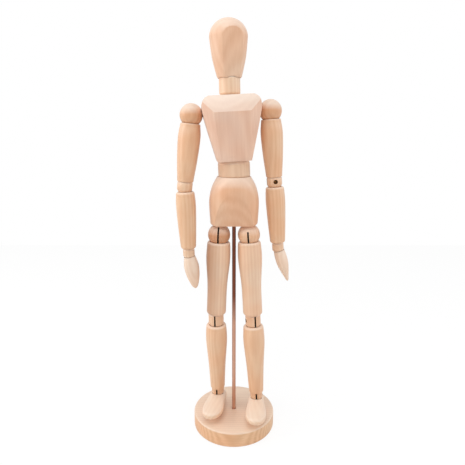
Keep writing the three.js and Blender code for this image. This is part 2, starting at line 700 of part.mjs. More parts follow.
const rodSeat = BASE_THICKNESS - ROD_IN_BASE + CLEARANCE;
const stand = jointed(mannequin, 'stand_rod', 'figure_turn', 'hinge', at(0, 0, rodSeat), Z, null);
const pelvis = jointed(stand, 'pelvis', 'figure_lift', 'slide', at(0, 0, 0), Z, [0, ROD_IN_PELVIS - 2]);
addPiece(pelvis, 'pelvis', pelvisBlock(), BODY_WOOD);
const pelvisPin = bar(X, -PELVIS_PIN_HALF_LENGTH, PELVIS_PIN_HALF_LENGTH, PIN_RADIUS, PIN_SIDES);
addPiece(pelvis, 'pelvis_pin', pelvisPin.translate(0, 0, PELVIS_PIN_AT), STEEL);

// Spine: its spring turns with the waist, the waist leans on it and the chest bows on the waist
const spine = jointed(pelvis, 'spine_spring', 'waist_turn', 'hinge', at(0, 0, WAIST_PIVOT), Z, RANGE.waistTurn,
  about(Z, POSE.waistTurn));
const waist = jointed(spine, 'waist', 'waist_lean', 'hinge', at(0, 0, 0), Y, RANGE.waistLean,
  about(Y, POSE.chestLean));
const chest = jointed(waist, 'chest', 'chest_bow', 'hinge', at(0, 0, 0), X, RANGE.chestBow);
addPiece(waist, 'waist', boredBall(WAIST_BALL, WAIST_BARREL, WAIST_BORE, TRUNK_SIDES), JOINT_WOOD);
addPiece(chest, 'chest', chestBlock(), BODY_WOOD);

const crossWire = at(0, 0, SHOULDER_HEIGHT);
const spinePoints = springPoints(
  { axis: X, aside: -HOOK_ASIDE, height: crossWire.z - LINK_ASIDE, lead: crossWire.z },
  { axis: X, aside: 0, height: PELVIS_PIN_AT - WAIST_PIVOT, lead: HOOK_LEAD, turn: -POSE.waistTurn },
);
addPiece(spine, 'spine_spring', wire(bentAbove(spinePoints, 0, about(Y, POSE.chestLean))), STEEL);

// Neck, in the same way
const neckSpring = jointed(chest, 'neck_spring', 'neck_turn', 'hinge', at(0, 0, NECK_PIVOT), Z, RANGE.neckTurn,
  about(Z, POSE.neckTurn));
const neck = jointed(neckSpring, 'neck', 'neck_lean', 'hinge', at(0, 0, 0), Y, RANGE.neckLean,
  about(Y, POSE.headLean));
const head = jointed(neck, 'head', 'head_nod', 'hinge', at(0, 0, 0), X, RANGE.headNod);
addPiece(neck, 'neck', boredBall(NECK_BALL, NECK_BARREL, TRUNK_BORE, LIMB_SIDES), JOINT_WOOD);
addPiece(head, 'head', headEgg(), BODY_WOOD);

function neckSpringPoints() {
  const eyeHeight = SHOULDER_HEIGHT + LINK_ASIDE - NECK_PIVOT;
  const eye = lowerEyePoints({ axis: X, aside: HOOK_ASIDE, height: eyeHeight, turn: -POSE.neckTurn });
  const end = HEAD_UNDER + HEAD_BORE_DEPTH - 1;
  const points = [...coilPoints(end, eyeHeight + HOOK_LEAD, COIL_TURNS + 2), ...eye];
  return bentAbove(points, 0, about(Y, POSE.headLean));
}
addPiece(neckSpring, 'neck_spring', wire(neckSpringPoints()), STEEL);

// The shoulder spring: hooks on both shoulder pins, coils, and a straight middle that the spine hangs on
function chestSpringPoints() {
  const eye = eyePoints(Y, HOOK_ASIDE, SHOULDER_REACH);
  const coil = coilPoints(SHOULDER_REACH - HOOK_LEAD, CROSS_WIRE_HALF + 2, COIL_TURNS - 1);
  const upperHalf = [...eye, ...coil, at(0, 0, CROSS_WIRE_HALF), at(0, 0, 0)];
  const lowerHalf = upperHalf.slice(0, -1).map((point) => at(-point.x, point.y, -point.z)).reverse();
  const layDown = about(Y, 90);
  return [...upperHalf, ...lowerHalf].map((point) => point.clone().applyQuaternion(layDown).add(crossWire));
}
addPiece(chest, 'chest_spring', wire(chestSpringPoints()), STEEL);

function addArm(sideName) {
  const side = SIDES[sideName];
  const pose = POSE[sideName];
  const range = RANGE[sideName];
  const named = (piece) => `${sideName}_${piece}`;
  const outward = Y.clone().multiplyScalar(-side);
  const upperEnd = { ball: SHOULDER_BALL, rim: ARM_RIM_ON_SHOULDER };
  const elbowAbove = { ball: ELBOW_BALL, rim: ARM_RIM_ON_ELBOW };
  const elbowBelow = { ball: ELBOW_BALL, rim: FOREARM_RIM_ON_ELBOW };
  const wristAbove = { ball: WRIST_BALL, rim: FOREARM_RIM_ON_WRIST };
  const pinFront = side > 0 ? -1 : 1;

  const shoulder = jointed(chest, named('shoulder'), named('arm_swing'), 'hinge',
    at(side * SHOULDER_REACH, 0, SHOULDER_HEIGHT), X, null);
  const inward = X.clone().multiplyScalar(-side);
  addPiece(shoulder, named('shoulder'), kerfedBall(SHOULDER_BALL, SHOULDER_BALL, Y, 1, inward), JOINT_WOOD);
  addPiece(shoulder, named('shoulder_pin'), crossPin(SHOULDER_BALL, Y, 1), STEEL);

  const upperArm = jointed(shoulder, named('upper_arm'), named('arm_lift'), 'hinge', at(0, 0, 0), outward,
    range.armLift, about(Y, pose.armLean));
  addPiece(upperArm, named('upper_arm'), limb(UPPER_ARM, upperEnd, elbowAbove), BODY_WOOD);

  const elbow = jointed(upperArm, named('elbow'), named('elbow_turn'), 'hinge', at(0, 0, -UPPER_ARM.length), Z,
    range.elbowTurn, about(Z, pose.elbowTurn));
  addPiece(elbow, named('elbow'), kerfedBall(ELBOW_BALL, ELBOW_BARREL, Y, pinFront, Z), JOINT_WOOD);
  addPiece(elbow, named('elbow_pin'), crossPin(ELBOW_BARREL, Y, pinFront), STEEL);
  const armSpring = limbSpring(UPPER_ARM.length, Y, SHOULDER_BALL, HOOK_ASIDE, pose.elbowTurn);
  addPiece(upperArm, named('upper_arm_spring'), armSpring, STEEL);

  const forearm = jointed(elbow, named('forearm'), named('elbow_bend'), 'hinge', at(0, 0, 0), outward,
    range.elbowBend, about(Y, pose.forearmLean));
  addPiece(forearm, named('forearm'), limb(FOREARM, elbowBelow, wristAbove), BODY_WOOD);

  const wrist = jointed(forearm, named('wrist'), named('wrist_turn'), 'hinge', at(0, 0, -FOREARM.length), Z,
    range.wristTurn, about(Z, pose.wristTurn));
  addPiece(wrist, named('wrist'), boredBall(WRIST_BALL, WRIST_BARREL, LIMB_BORE, BALL_SIDES), JOINT_WOOD);
  const linkLength = FOREARM.length - LINK_ASIDE;
  addPiece(forearm, named('forearm_spring'), limbSpring(linkLength, Y, ELBOW_BALL, 0, pose.wristTurn), STEEL);

  const hand = jointed(wrist, named('hand'), named('hand_bend'), 'hinge', at(0, 0, 0), Y, range.handBend,
    about(Y, pose.handBend));
  addPiece(hand, named('hand'), mitten(pose.leafTurn), BODY_WOOD);
  addPiece(hand, named('hand_wire'), eyeWire(X, -LINK_ASIDE, HAND_WIRE_DEPTH - LINK_ASIDE), STEEL);
}

// A leg down to its ankle pin. The foot is levelled after the pelvis has its height.
function addLeg(sideName) {
  const side = SIDES[sideName];
  const pose = POSE[sideName];
  const range = RANGE[sideName];
  const named = (piece) => `${sideName}_${piece}`;
  const hipBelow = { ball: HIP_BALL, rim: THIGH_RIM_ON_HIP };
  const kneeAbove = { ball: KNEE_BALL, rim: THIGH_RIM_ON_KNEE };
  const kneeBelow = { ball: KNEE_BALL, rim: SHIN_RIM_ON_KNEE };
  const ankleAbove = { ball: ANKLE_BALL, rim: SHIN_RIM_ON_ANKLE };
  const outTurn = Z.clone().multiplyScalar(side);
  const outLean = Y.clone().multiplyScalar(-side);

  const hipSpring = jointed(pelvis, named('hip_spring'), named('leg_turn'), 'hinge',
    at(side * HIP_SPACING, 0, 0), outTurn, range.legTurn);
  const hip = jointed(hipSpring, named('hip'), named('leg_spread'), 'hinge', at(0, 0, 0), outLean,
    range.legSpread, turnThenLean(pose.hipTurn, pose.thighLean));
  const hipKerf = HIP_KERF_SHARE[sideName];
  addPiece(hip, named('hip'), kerfedBall(HIP_BALL, HIP_BALL, X, side, Z, hipKerf), JOINT_WOOD);
  addPiece(hip, named('hip_pin'), crossPin(HIP_BALL, X, side), STEEL);
  const hookLine = springPoints(
    { axis: X, aside: 0, height: PELVIS_PIN_AT, lead: HOOK_LEAD },
    { axis: X, aside: HOOK_ASIDE, height: 0, lead: HIP_BALL, turn: pose.hipTurn },
  );
  addPiece(hipSpring, named('hip_spring'), wire(hookLine), STEEL);

  const thigh = jointed(hip, named('thigh'), named('leg_swing'), 'hinge', at(0, 0, 0), X.clone().negate(),
    range.legSwing, about(X, pose.thighSwing));
  addPiece(thigh, named('thigh'), limb(THIGH, hipBelow, kneeAbove), BODY_WOOD);
  const thighSpring = limbSpring(THIGH.length, X, HIP_BALL, HOOK_ASIDE, pose.kneeTurn);
  addPiece(thigh, named('thigh_spring'), thighSpring, STEEL);

  const knee = jointed(thigh, named('knee'), named('knee_turn'), 'hinge', at(0, 0, -THIGH.length), outTurn,
    range.kneeTurn, turnThenLean(pose.kneeTurn, pose.shinLean));
  addPiece(knee, named('knee'), kerfedBall(KNEE_BALL, KNEE_BARREL, X, -1, Z), JOINT_WOOD);
  addPiece(knee, named('knee_pin'), crossPin(KNEE_BARREL, X, -1), STEEL);

  const unturn = pose.ankleTurn - pose.kneeTurn - pose.hipTurn;
  const shin = jointed(knee, named('shin'), named('knee_bend'), 'hinge', at(0, 0, 0), X, range.kneeBend,
    about(X, pose.kneeBend));
  addPiece(shin, named('shin'), limb(SHIN, kneeBelow, ankleAbove), BODY_WOOD);
  addPiece(shin, named('shin_spring'), limbSpring(SHIN.length, X, KNEE_BALL, HOOK_ASIDE, unturn), STEEL);

  const ankle = jointed(shin, named('ankle'), named('ankle_turn'), 'hinge', at(0, 0, -SHIN.length), outTurn,
    range.ankleTurn, about(Z, unturn));
  addPiece(ankle, named('ankle'), kerfedBall(ANKLE_BALL, ANKLE_BARREL, X, side, Z), JOINT_WOOD);
  addPiece(ankle, named('ankle_pin'), crossPin(ANKLE_BARREL, X, side), STEEL);
  return ankle;
}

// Turns a group so that it stands level with the base, at a heading and with the toe a little up
function levelled(group, heading) {
  group.parent.updateWorldMatrix(true, false);
  const undo = group.parent.getWorldQuaternion(new THREE.Quaternion()).invert();
  group.quaternion.copy(undo.multiply(about(Z, heading)).multiply(about(X, -TOE_UP)));
}

function addFoot(sideName, ankle) {
  const named = (piece) => `${sideName}_${piece}`;
  const footJoint = jointed(ankle, named('foot'), named('foot_bend'), 'hinge', at(0, 0, 0), X,
    RANGE[sideName].footBend);
  addPiece(footJoint, named('foot_wire'), eyeWire(X, 0, FOOT_WIRE_DEPTH), STEEL);
  const foot = new THREE.Group();
  footJoint.add(foot);
  levelled(foot, POSE[sideName].footTurn);
  const shank = bar(Z, -FOOT_WIRE_DEPTH - CLEARANCE, 0, WIRE_RADIUS + CLEARANCE, PIN_SIDES);
  shank.applyQuaternion(foot.quaternion.clone().invert());
  addPiece(foot, named('foot'), carved(footBlock(), [shank]), BODY_WOOD);
}

let longestLeg = 0;
for (const sideName of Object.keys(SIDES)) {
  addArm(sideName);
  const ankle = addLeg(sideName);
  addFoot(sideName, ankle);
  const reach = -pelvis.worldToLocal(ankle.getWorldPosition(at(0, 0, 0))).z;
  longestLeg = Math.max(longestLeg, reach);
}

// The longer leg sets how high the pelvis stands, and that sets the length of the rod
const hipHeight = BASE_THICKNESS + SOLE_ABOVE_BASE + ANKLE_HEIGHT + longestLeg;
pelvis.position.z = hipHeight - rodSeat;
const rodTop = pelvis.position.z + PELVIS_UNDER + ROD_IN_PELVIS - CLEARANCE;
addPiece(stand, 'stand_rod', standRod(0, rodTop), ROD_METAL);

export default mannequin;
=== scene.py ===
"""Wooden artist mannequin on a stand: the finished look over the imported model, in metres."""
import json
import math

import bpy
from mathutils import Matrix, Vector


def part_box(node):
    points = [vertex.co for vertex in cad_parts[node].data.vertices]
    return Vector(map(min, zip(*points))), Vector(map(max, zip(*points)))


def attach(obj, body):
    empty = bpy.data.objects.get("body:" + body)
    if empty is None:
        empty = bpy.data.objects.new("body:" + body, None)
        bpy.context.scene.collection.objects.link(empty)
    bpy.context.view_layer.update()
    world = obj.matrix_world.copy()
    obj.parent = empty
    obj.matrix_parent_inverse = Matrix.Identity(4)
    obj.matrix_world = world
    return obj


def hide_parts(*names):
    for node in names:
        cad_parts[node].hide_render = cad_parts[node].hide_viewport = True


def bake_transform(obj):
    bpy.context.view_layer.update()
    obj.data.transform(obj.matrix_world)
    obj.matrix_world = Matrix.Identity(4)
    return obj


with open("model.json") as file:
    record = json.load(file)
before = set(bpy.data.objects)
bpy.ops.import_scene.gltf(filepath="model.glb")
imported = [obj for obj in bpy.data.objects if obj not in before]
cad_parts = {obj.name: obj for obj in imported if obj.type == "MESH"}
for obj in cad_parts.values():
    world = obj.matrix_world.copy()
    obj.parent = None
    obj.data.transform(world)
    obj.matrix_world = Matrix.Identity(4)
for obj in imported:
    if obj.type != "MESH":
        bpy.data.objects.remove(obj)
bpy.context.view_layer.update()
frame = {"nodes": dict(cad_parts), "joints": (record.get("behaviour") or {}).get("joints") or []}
joints = {joint["name"]: joint for joint in frame["joints"]}

# Base
# A disc of pale hardwood, turned on a lathe with both edges eased, sanded and left bare.
# It is drilled from above for the rod, and the hole stops short of the underside.
MM = 0.001
MERGE_WITHIN = 0.002
BASE_RADIUS = 34.5
BASE_THICKNESS = 13
BASE_EDGE = 1.4
ROD_HOLE_RADIUS = 1.8
ROD_HOLE_DEPTH = 9
HOLE_CHAMFER = 0.3
BASE_GRAIN_TURN = 90
BASE_TONES = ("EDC399", "D6A577")
# The base's upward faces get this share of the pale tone, as a painted highlight from the overhead light.
BASE_PAINTED_HIGHLIGHT = 0.55
PITH_AWAY = 26
RING_SPACING = 2.6
RING_WAVER = {"Distortion": 2.2, "Detail": 2.0, "Detail Scale": 0.6}
WAVE_PERIOD = math.tau / 20
FIBRE_WIDTH = 1.3
FIBRE_STRETCH = 34
FIBRE_SHARE = 0.7
STREAKS = (0.2, 0.8)
PATCH_SIZE = 24
PATCH_RANGE = (0.35, 0.65)
PATCH_TONES = ("FFF3EA", "FFFFFF")
HEART_RANGE = (17 * MM, 26 * MM)
HEART_TONE = "A87148"
# Painted highlight: faces turned upward are mixed towards a pale tone over this range of facing, for the
# overhead light on them.
PAINTED_HIGHLIGHT_RANGE = (0.05, 0.6)
PAINTED_HIGHLIGHT_TONE = "F3E4D5"
PAINTED_HIGHLIGHT = 0.45
WOOD_GLOSS = (0.45, 0.58)
WOOD_SHINE = 0.9
GRAIN_RELIEF = 0.25
GRAIN_DEPTH = 0.05
SHEEN = 0.2
SHEEN_ROUGHNESS = 0.5


def arc(centre, radius, start, end, steps):
    """Outline points (radius, height) on a circle, with the angles in degrees from the radius direction."""
    points = []
    for i in range(steps + 1):
        angle = math.radians(start + (end - start) * i / steps)
        points.append((centre[0] + radius * math.cos(angle), centre[1] + radius * math.sin(angle)))
    return points


def only(piece):
    """Leaves this piece alone selected and active."""
    bpy.ops.object.select_all(action="DESELECT")
    piece.select_set(True)
    bpy.context.view_layer.objects.active = piece


def added(name, add, **settings):
    """A new piece from one of the add operators, with nothing else selected."""
    bpy.ops.object.select_all(action="DESELECT")
    add(**settings)
    piece = bpy.context.object
    piece.name = name
    return piece


def mesh_done():
    """Turns every face of the mesh outward, and leaves edit mode."""
    bpy.ops.mesh.select_all(action="SELECT")
    bpy.ops.mesh.normals_make_consistent(inside=False)
    bpy.ops.object.mode_set(mode="OBJECT")


def turned(name, outline, sides=128):
    """A lathe piece about Z from its outline of (radius, height) in millimetres."""
    piece = added(name, bpy.ops.mesh.primitive_plane_add, size=MM)
    bpy.ops.object.mode_set(mode="EDIT")
    bpy.ops.mesh.merge(type="CENTER")
    places = [Vector((radius, 0, height)) * MM for radius, height in outline]
    bpy.ops.transform.translate(value=places[0])
    for last, here in zip(places, places[1:]):
        bpy.ops.mesh.extrude_region_move(TRANSFORM_OT_translate={"value": here - last})
    bpy.ops.mesh.select_all(action="SELECT")
    bpy.ops.mesh.spin(steps=sides, angle=math.tau, center=(0, 0, 0), axis=(0, 0, 1))
    bpy.ops.mesh.select_all(action="SELECT")
    bpy.ops.mesh.remove_doubles(threshold=MERGE_WITHIN * MM)
    mesh_done()
    return piece


def smoothed(piece, angle=32):
    """Smooth shading, broken where two faces meet at more than the angle."""
    only(piece)
    bpy.ops.object.shade_smooth_by_angle(angle=math.radians(angle))


def set_down(piece, place):
    """Moves a piece to its place and keeps the place in its mesh."""
    piece.matrix_world = place
    only(piece)
    bpy.ops.object.transform_apply(location=True, rotation=True, scale=True)


def dressed(piece, body, material):
    """Gives a piece its first material, its body, and the solid of the same name that it stands for."""
    if piece.data.materials:
        piece.data.materials[0] = material
    else:
        piece.data.materials.append(material)
    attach(piece, body)
    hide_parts(body)


def linear(code):
    """A linear colour from an sRGB hex value."""
    channels = [int(code[i:i + 2], 16) / 255 for i in (0, 2, 4)]
    return [c / 12.92 if c <= 0.04045 else ((c + 0.055) / 1.055) ** 2.4 for c in channels] + [1.0]


def add_node(tree, kind, settings=None, links=None):
    """A node with its attributes or socket values set and its inputs linked."""
    node = tree.nodes.new(kind)
    for name, value in (settings or {}).items():
        if isinstance(name, str) and hasattr(node, name):
            setattr(node, name, value)
        else:
            node.inputs[name].default_value = value
    for name, source in (links or {}).items():
        tree.links.new(source, node.inputs[name])
    return node


def new_material(name):
    """A material with an empty tree and its Principled shader."""
    material = bpy.data.materials.new(name)
    material.use_nodes = True
    return material, material.node_tree, material.node_tree.nodes["Principled BSDF"]


def noise(tree, vector, size, detail=2.0, roughness=0.5):
    """The output of a noise texture, with its features' size in millimetres."""
    node = add_node(tree, "ShaderNodeTexNoise", {
        "Scale": 1 / (size * MM), "Detail": detail, "Roughness": roughness}, {"Vector": vector})
    return node.outputs["Fac"]


def remapped(tree, value, before=(0, 1), after=(0, 1)):
    """The output of a node that maps a value from one range to another."""
    node = add_node(tree, "ShaderNodeMapRange", {
        "From Min": before[0], "From Max": before[1], "To Min": after[0], "To Max": after[1]}, {
        "Value": value})
    return node.outputs["Result"]


def toned(tree, share, tones):
    """The output of a node that mixes two hex tones."""
    node = add_node(tree, "ShaderNodeMix", {
        "data_type": "RGBA", 6: linear(tones[0]), 7: linear(tones[1])}, {0: share})
    return node.outputs[2]


def stained(tree, share, colour, tone):
    """The output of a node that lays a hex tone over a colour."""
    node = add_node(tree, "ShaderNodeMix", {"data_type": "RGBA", 7: linear(tone)}, {0: share, 6: colour})
    return node.outputs[2]


def wood(name, place, turn, tones, heart=0.0, bleached=PAINTED_HIGHLIGHT):
    """Bare sanded hardwood: growth rings about a pith to one side, which show as faint lines on the sides and
    arcs on the ends, fine fibres, a slow change of tone, darker heartwood by the pith in some pieces, and a
    painted highlight that pales faces turned upward, for the overhead light on them. Real fibres are about
    0.1 mm wide, and drawn coarser here to show at this picture size. Raised ones give a pale sheen."""
    material, tree, shader = new_material(name)
    to_pith = Matrix.Translation((PITH_AWAY * MM, 0, 0))
    pith = place @ Matrix.Rotation(math.radians(turn), 4, "Z") @ to_pith
    coordinates = add_node(tree, "ShaderNodeTexCoord")
    along = add_node(tree, "ShaderNodeMapping", {
        "vector_type": "TEXTURE", "Location": pith.translation, "Rotation": pith.to_euler(),
        "Scale": (1, 1, FIBRE_STRETCH)}, {"Vector": coordinates.outputs["Object"]}).outputs["Vector"]
    rings = add_node(tree, "ShaderNodeTexWave", {
        "wave_type": "RINGS", "rings_direction": "Z", "Scale": WAVE_PERIOD / (RING_SPACING * MM),
        **RING_WAVER}, {"Vector": along})
    fibres = noise(tree, along, FIBRE_WIDTH, detail=3.0, roughness=0.65)
    figure = add_node(tree, "ShaderNodeMix", {0: FIBRE_SHARE}, {
        2: rings.outputs["Fac"], 3: fibres}).outputs[0]
    grain = toned(tree, remapped(tree, figure, STREAKS), tones)
    patches = noise(tree, coordinates.outputs["Object"], PATCH_SIZE, detail=1.0)
    warmth = toned(tree, remapped(tree, patches, PATCH_RANGE), PATCH_TONES)
    tinted = add_node(tree, "ShaderNodeMix", {"data_type": "RGBA", "blend_type": "MULTIPLY", 0: 1.0}, {
        6: grain, 7: warmth})
    from_pith = add_node(tree, "ShaderNodeVectorMath", {"operation": "LENGTH"}, {0: along})
    heart_share = remapped(tree, from_pith.outputs["Value"], HEART_RANGE, (heart, 0.0))
    aged = stained(tree, heart_share, tinted.outputs[2], HEART_TONE)
    facing = add_node(tree, "ShaderNodeSeparateXYZ", links={0: coordinates.outputs["Normal"]})
    # Painted highlight: the more a face turns upward, the more of the pale tone it gets.
    painted_highlight_share = remapped(tree, facing.outputs["Z"], PAINTED_HIGHLIGHT_RANGE, (0.0, bleached))
    tree.links.new(stained(tree, painted_highlight_share, aged, PAINTED_HIGHLIGHT_TONE), shader.inputs["Base Color"])
    tree.links.new(remapped(tree, figure, after=WOOD_GLOSS), shader.inputs["Roughness"])
    bump = add_node(tree, "ShaderNodeBump", {"Strength": GRAIN_RELIEF, "Distance": GRAIN_DEPTH * MM}, {
        "Height": figure})
    tree.links.new(bump.outputs["Normal"], shader.inputs["Normal"])
    shader.inputs["Specular IOR Level"].default_value = WOOD_SHINE
    shader.inputs["Sheen Weight"].default_value = SHEEN
    shader.inputs["Sheen Roughness"].default_value = SHEEN_ROUGHNESS
    return material


def wooden(piece, body, slot, place, turn, tones, **look):
    """Dresses a piece in wood whose grain runs along Z of a place."""
    dressed(piece, body, wood(body + "_hardwood", place, turn, tones, **look))


rod_hole_end = BASE_THICKNESS - ROD_HOLE_DEPTH
base_outline = [(0, 0)]
base_outline += arc((BASE_RADIUS - BASE_EDGE, BASE_EDGE), BASE_EDGE, -90, 0, 6)
base_outline += arc((BASE_RADIUS - BASE_EDGE, BASE_THICKNESS - BASE_EDGE), BASE_EDGE, 0, 90, 6)
base_outline += [
    (ROD_HOLE_RADIUS + HOLE_CHAMFER, BASE_THICKNESS), (ROD_HOLE_RADIUS, BASE_THICKNESS - HOLE_CHAMFER),
    (ROD_HOLE_RADIUS, rod_hole_end), (0, rod_hole_end),
]
base = turned("base_disc", base_outline)
smoothed(base)
across_base = Matrix.Rotation(math.pi / 2, 4, "Y")
wooden(base, "base", "body_wood", across_base, BASE_GRAIN_TURN, BASE_TONES, bleached=BASE_PAINTED_HIGHLIGHT)

# Rod
# A plain drawn metal rod with a copper-brown finish, its ends broken with a file. Its colour carries a
# painted
# reflection: paler low down, for the bright floor, and darker up high, for the shaded legs above it.
# It drops into the base and goes up a blind hole in the pelvis.
ROD_RADIUS = 1.5
ROD_CHAMFER = 0.4
# Painted reflection: the darker browns up high stand for the shaded legs, the pale coppers low down for the
# bright floor.
ROD_SHADED_BROWNS = ("6E3D2C", "88523E")
ROD_REFLECTION_COPPERS = ("C08F78", "DDB49E")
ROD_PAINTED_REFLECTION_RANGE = (92 * MM, 118 * MM)
ROD_GLOSS = (0.28, 0.42)
ROD_METALLIC = 0.85
DRAW_LINE_WIDTH = 0.5
DRAW_LINE_STRETCH = 60

rod_low, rod_high = [corner.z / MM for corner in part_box("stand_rod")]
rod_outline = [
    (0, rod_low), (ROD_RADIUS - ROD_CHAMFER, rod_low), (ROD_RADIUS, rod_low + ROD_CHAMFER),
    (ROD_RADIUS, rod_high - ROD_CHAMFER), (ROD_RADIUS - ROD_CHAMFER, rod_high), (0, rod_high),
]
rod = turned("rod", rod_outline, 32)
smoothed(rod)

# Lacquered metal that was drawn through a die: faint lines along the rod break up its gloss
rod_metal, tree, shader = new_material("copper_brown_metal")
coordinates = add_node(tree, "ShaderNodeTexCoord").outputs["Object"]
lengthwise = add_node(tree, "ShaderNodeMapping", {
    "vector_type": "TEXTURE", "Scale": (1, 1, DRAW_LINE_STRETCH)}, {"Vector": coordinates})
draw_lines = noise(tree, lengthwise.outputs["Vector"], DRAW_LINE_WIDTH)
rod_height = add_node(tree, "ShaderNodeSeparateXYZ", links={0: coordinates})
# Painted reflection: paler towards the bottom of the rod, darker towards the top.
rod_painted_reflection = remapped(tree, rod_height.outputs["Z"], ROD_PAINTED_REFLECTION_RANGE, (1.0, 0.0))
rod_colour = add_node(tree, "ShaderNodeMix", {"data_type": "RGBA"}, {
    0: rod_painted_reflection, 6: toned(tree, draw_lines, ROD_SHADED_BROWNS), 7: toned(tree, draw_lines, ROD_REFLECTION_COPPERS)})
tree.links.new(rod_colour.outputs[2], shader.inputs["Base Color"])
tree.links.new(remapped(tree, draw_lines, after=ROD_GLOSS), shader.inputs["Roughness"])
shader.inputs["Metallic"].default_value = ROD_METALLIC
dressed(rod, "stand_rod", rod_metal)

# Pelvis
# A turned block, narrower from front to back, sawn to a slanted flat in front that leaves an arch.
# The waist sits in a hollow in its top, and the two hip balls in hollows in its underside.
CLEARANCE = 0.3
WAIST_BALL = 13.2
HIP_BALL = 8.9
PELVIS_HEIGHT = 38.2
PELVIS_HALF_WIDTH = 19.5
PELVIS_HALF_DEPTH = 15.4
PELVIS_FOOT_HALF_WIDTH = 18.8
PELVIS_WIDEST_AT = 19
PELVIS_CORNER = 2
PELVIS_TAPER = 8
PELVIS_SWELL = 1
PELVIS_LIP = 0.7
PELVIS_FACE_TOP = 26.5
PELVIS_FACE_SLANT = 15
PELVIS_RIM_ON_WAIST = 23.6
PELVIS_RIM_ON_HIP = 64
PELVIS_TONES = ("EABF9C", "DFAE88")
# The pelvis's upward faces get this share of painted highlight.
PELVIS_PAINTED_HIGHLIGHT = 0.65
PELVIS_GRAIN_TURN = 95
ROD_IN_PELVIS = 12
PIN_HOLE = 1.2
HOOK_LEAD = 5
HIP_SPRING_BORE = 2.9
SPINE_BORE = 3.3
CUT_PAST = 1
SEAT_REACH = 1.2 * CLEARANCE
PORE_SIZE = 0.7
# Tones for end grain in hollows and holes, made darker as painted shade in the gaps.
END_GRAIN_AND_SHADE_TONES = ("A67648", "7D5333")
ROUGH = 0.9


def joint_place(name):
    """Where a joint is, in millimetres."""
    return Vector(joints[name]["pos_m"]) / MM


def joint_axis(name):
    """The direction of a joint's axis."""
    return Vector(joints[name]["axis"]).normalized()


def placed(origin, along, across):
    """A place at an origin in millimetres, with Z along one direction and X nearest to another."""
    z = along.normalized()
    y = z.cross(across).normalized()
    x = y.cross(z)
    return Matrix.Translation(origin * MM) @ Matrix((x, y, z)).transposed().to_4x4()


def hollow_drop(ball, rim):
    """How far below the middle of its ball a hollow's rim sits, from the rim's angle on the ball."""
    return (ball + CLEARANCE) * math.sin(math.radians(rim))


def hollow_edge(ball, rim):
    """The radius of a hollow at its rim."""
    return (ball + CLEARANCE) * math.cos(math.radians(rim))


def smooth_line(points, steps):
    """Points on a smooth line through the given ones."""
    line = []
    ends = [points[0]] + list(points) + [points[-1]]
    for i in range(len(points) - 1):
        a, b, c, d = [Vector(point) for point in ends[i:i + 4]]
        for k in range(steps):
            t = k / steps
            line.append(tuple(0.5 * (2 * b + (c - a) * t + (2 * a - 5 * b + 4 * c - d) * t ** 2
                                     + (3 * b - a - 3 * c + d) * t ** 3)))
    return line + [tuple(points[-1])]


def cut_away(piece, cutter):
    """Takes a cutter's shape out of a piece. The cut faces keep the cutter's material."""
    modifier = piece.modifiers.new("cut", "BOOLEAN")
    modifier.object = cutter
    modifier.solver = "EXACT"
    modifier.material_mode = "TRANSFER"
    only(piece)
    bpy.ops.object.modifier_apply(modifier="cut")
    bpy.data.objects.remove(cutter)


def ball_cutter(radius, centre):
    """A ball in millimetres that hollows a seat."""
    return added("ball_cutter", bpy.ops.mesh.primitive_uv_sphere_add, segments=64, ring_count=32,
                 radius=radius * MM, location=Vector(centre) * MM)


def drill(radius, start, end):
    """A round cutter from one point to another, in millimetres."""
    run = Vector(end) - Vector(start)
    cutter = added("drill", bpy.ops.mesh.primitive_cylinder_add, vertices=32, radius=radius * MM,
                   depth=run.length * MM)
    across = Vector((1, 0, 0)) if abs(run.normalized().x) < 0.9 else Vector((0, 1, 0))
    set_down(cutter, placed((Vector(start) + Vector(end)) / 2, run, across))
    return cutter


def sliced(piece, point, normal):
    """Saws off what lies beyond a plane, through a point in millimetres, and closes the cut."""
    only(piece)
    bpy.ops.object.mode_set(mode="EDIT")
    bpy.ops.mesh.select_all(action="SELECT")
    bpy.ops.mesh.bisect(plane_co=Vector(point) * MM, plane_no=Vector(normal).normalized(),
                        use_fill=True, clear_outer=True)
    bpy.ops.object.mode_set(mode="OBJECT")


def eased(piece, width, angle=40):
    """Breaks the sharp edges of a piece with a small round, as sandpaper does."""
    modifier = piece.modifiers.new("eased", "BEVEL")
    modifier.width = width * MM
    modifier.segments = 2
    modifier.limit_method = "ANGLE"
    modifier.angle_limit = math.radians(angle)
    only(piece)
    bpy.ops.object.modifier_apply(modifier="eased")


def rough_wood(name, size, tones, shine=0.5):
    """Rough unsanded wood in specks of two tones, with no gloss."""
    material, tree, shader = new_material(name)
    coordinates = add_node(tree, "ShaderNodeTexCoord")
    specks = noise(tree, coordinates.outputs["Object"], size)
    tree.links.new(toned(tree, specks, tones), shader.inputs["Base Color"])
    shader.inputs["Roughness"].default_value = ROUGH
    shader.inputs["Specular IOR Level"].default_value = shine
    return material


# End grain in the hollows and holes, its darker brown partly the end grain's own tone and partly painted
# shade, so every gap shows as a dark line
end_grain_and_shade = rough_wood("rough_end_grain_and_painted_shade", PORE_SIZE, END_GRAIN_AND_SHADE_TONES)


def hollowed(piece, *seats):
    """Gives a piece's hollows the end-grain material, whose darker tone is partly painted shade in the gaps.
    Each seat is the radius and the middle of its ball.
    """
    piece.data.materials.clear()
    piece.data.materials.append(None)
    piece.data.materials.append(end_grain_and_shade)
    for face in piece.data.polygons:
        corners = [piece.data.vertices[i].co / MM for i in face.vertices]
        for radius, middle in seats:
            if all((corner - Vector(middle)).length < radius + SEAT_REACH for corner in corners):
                face.material_index = 1


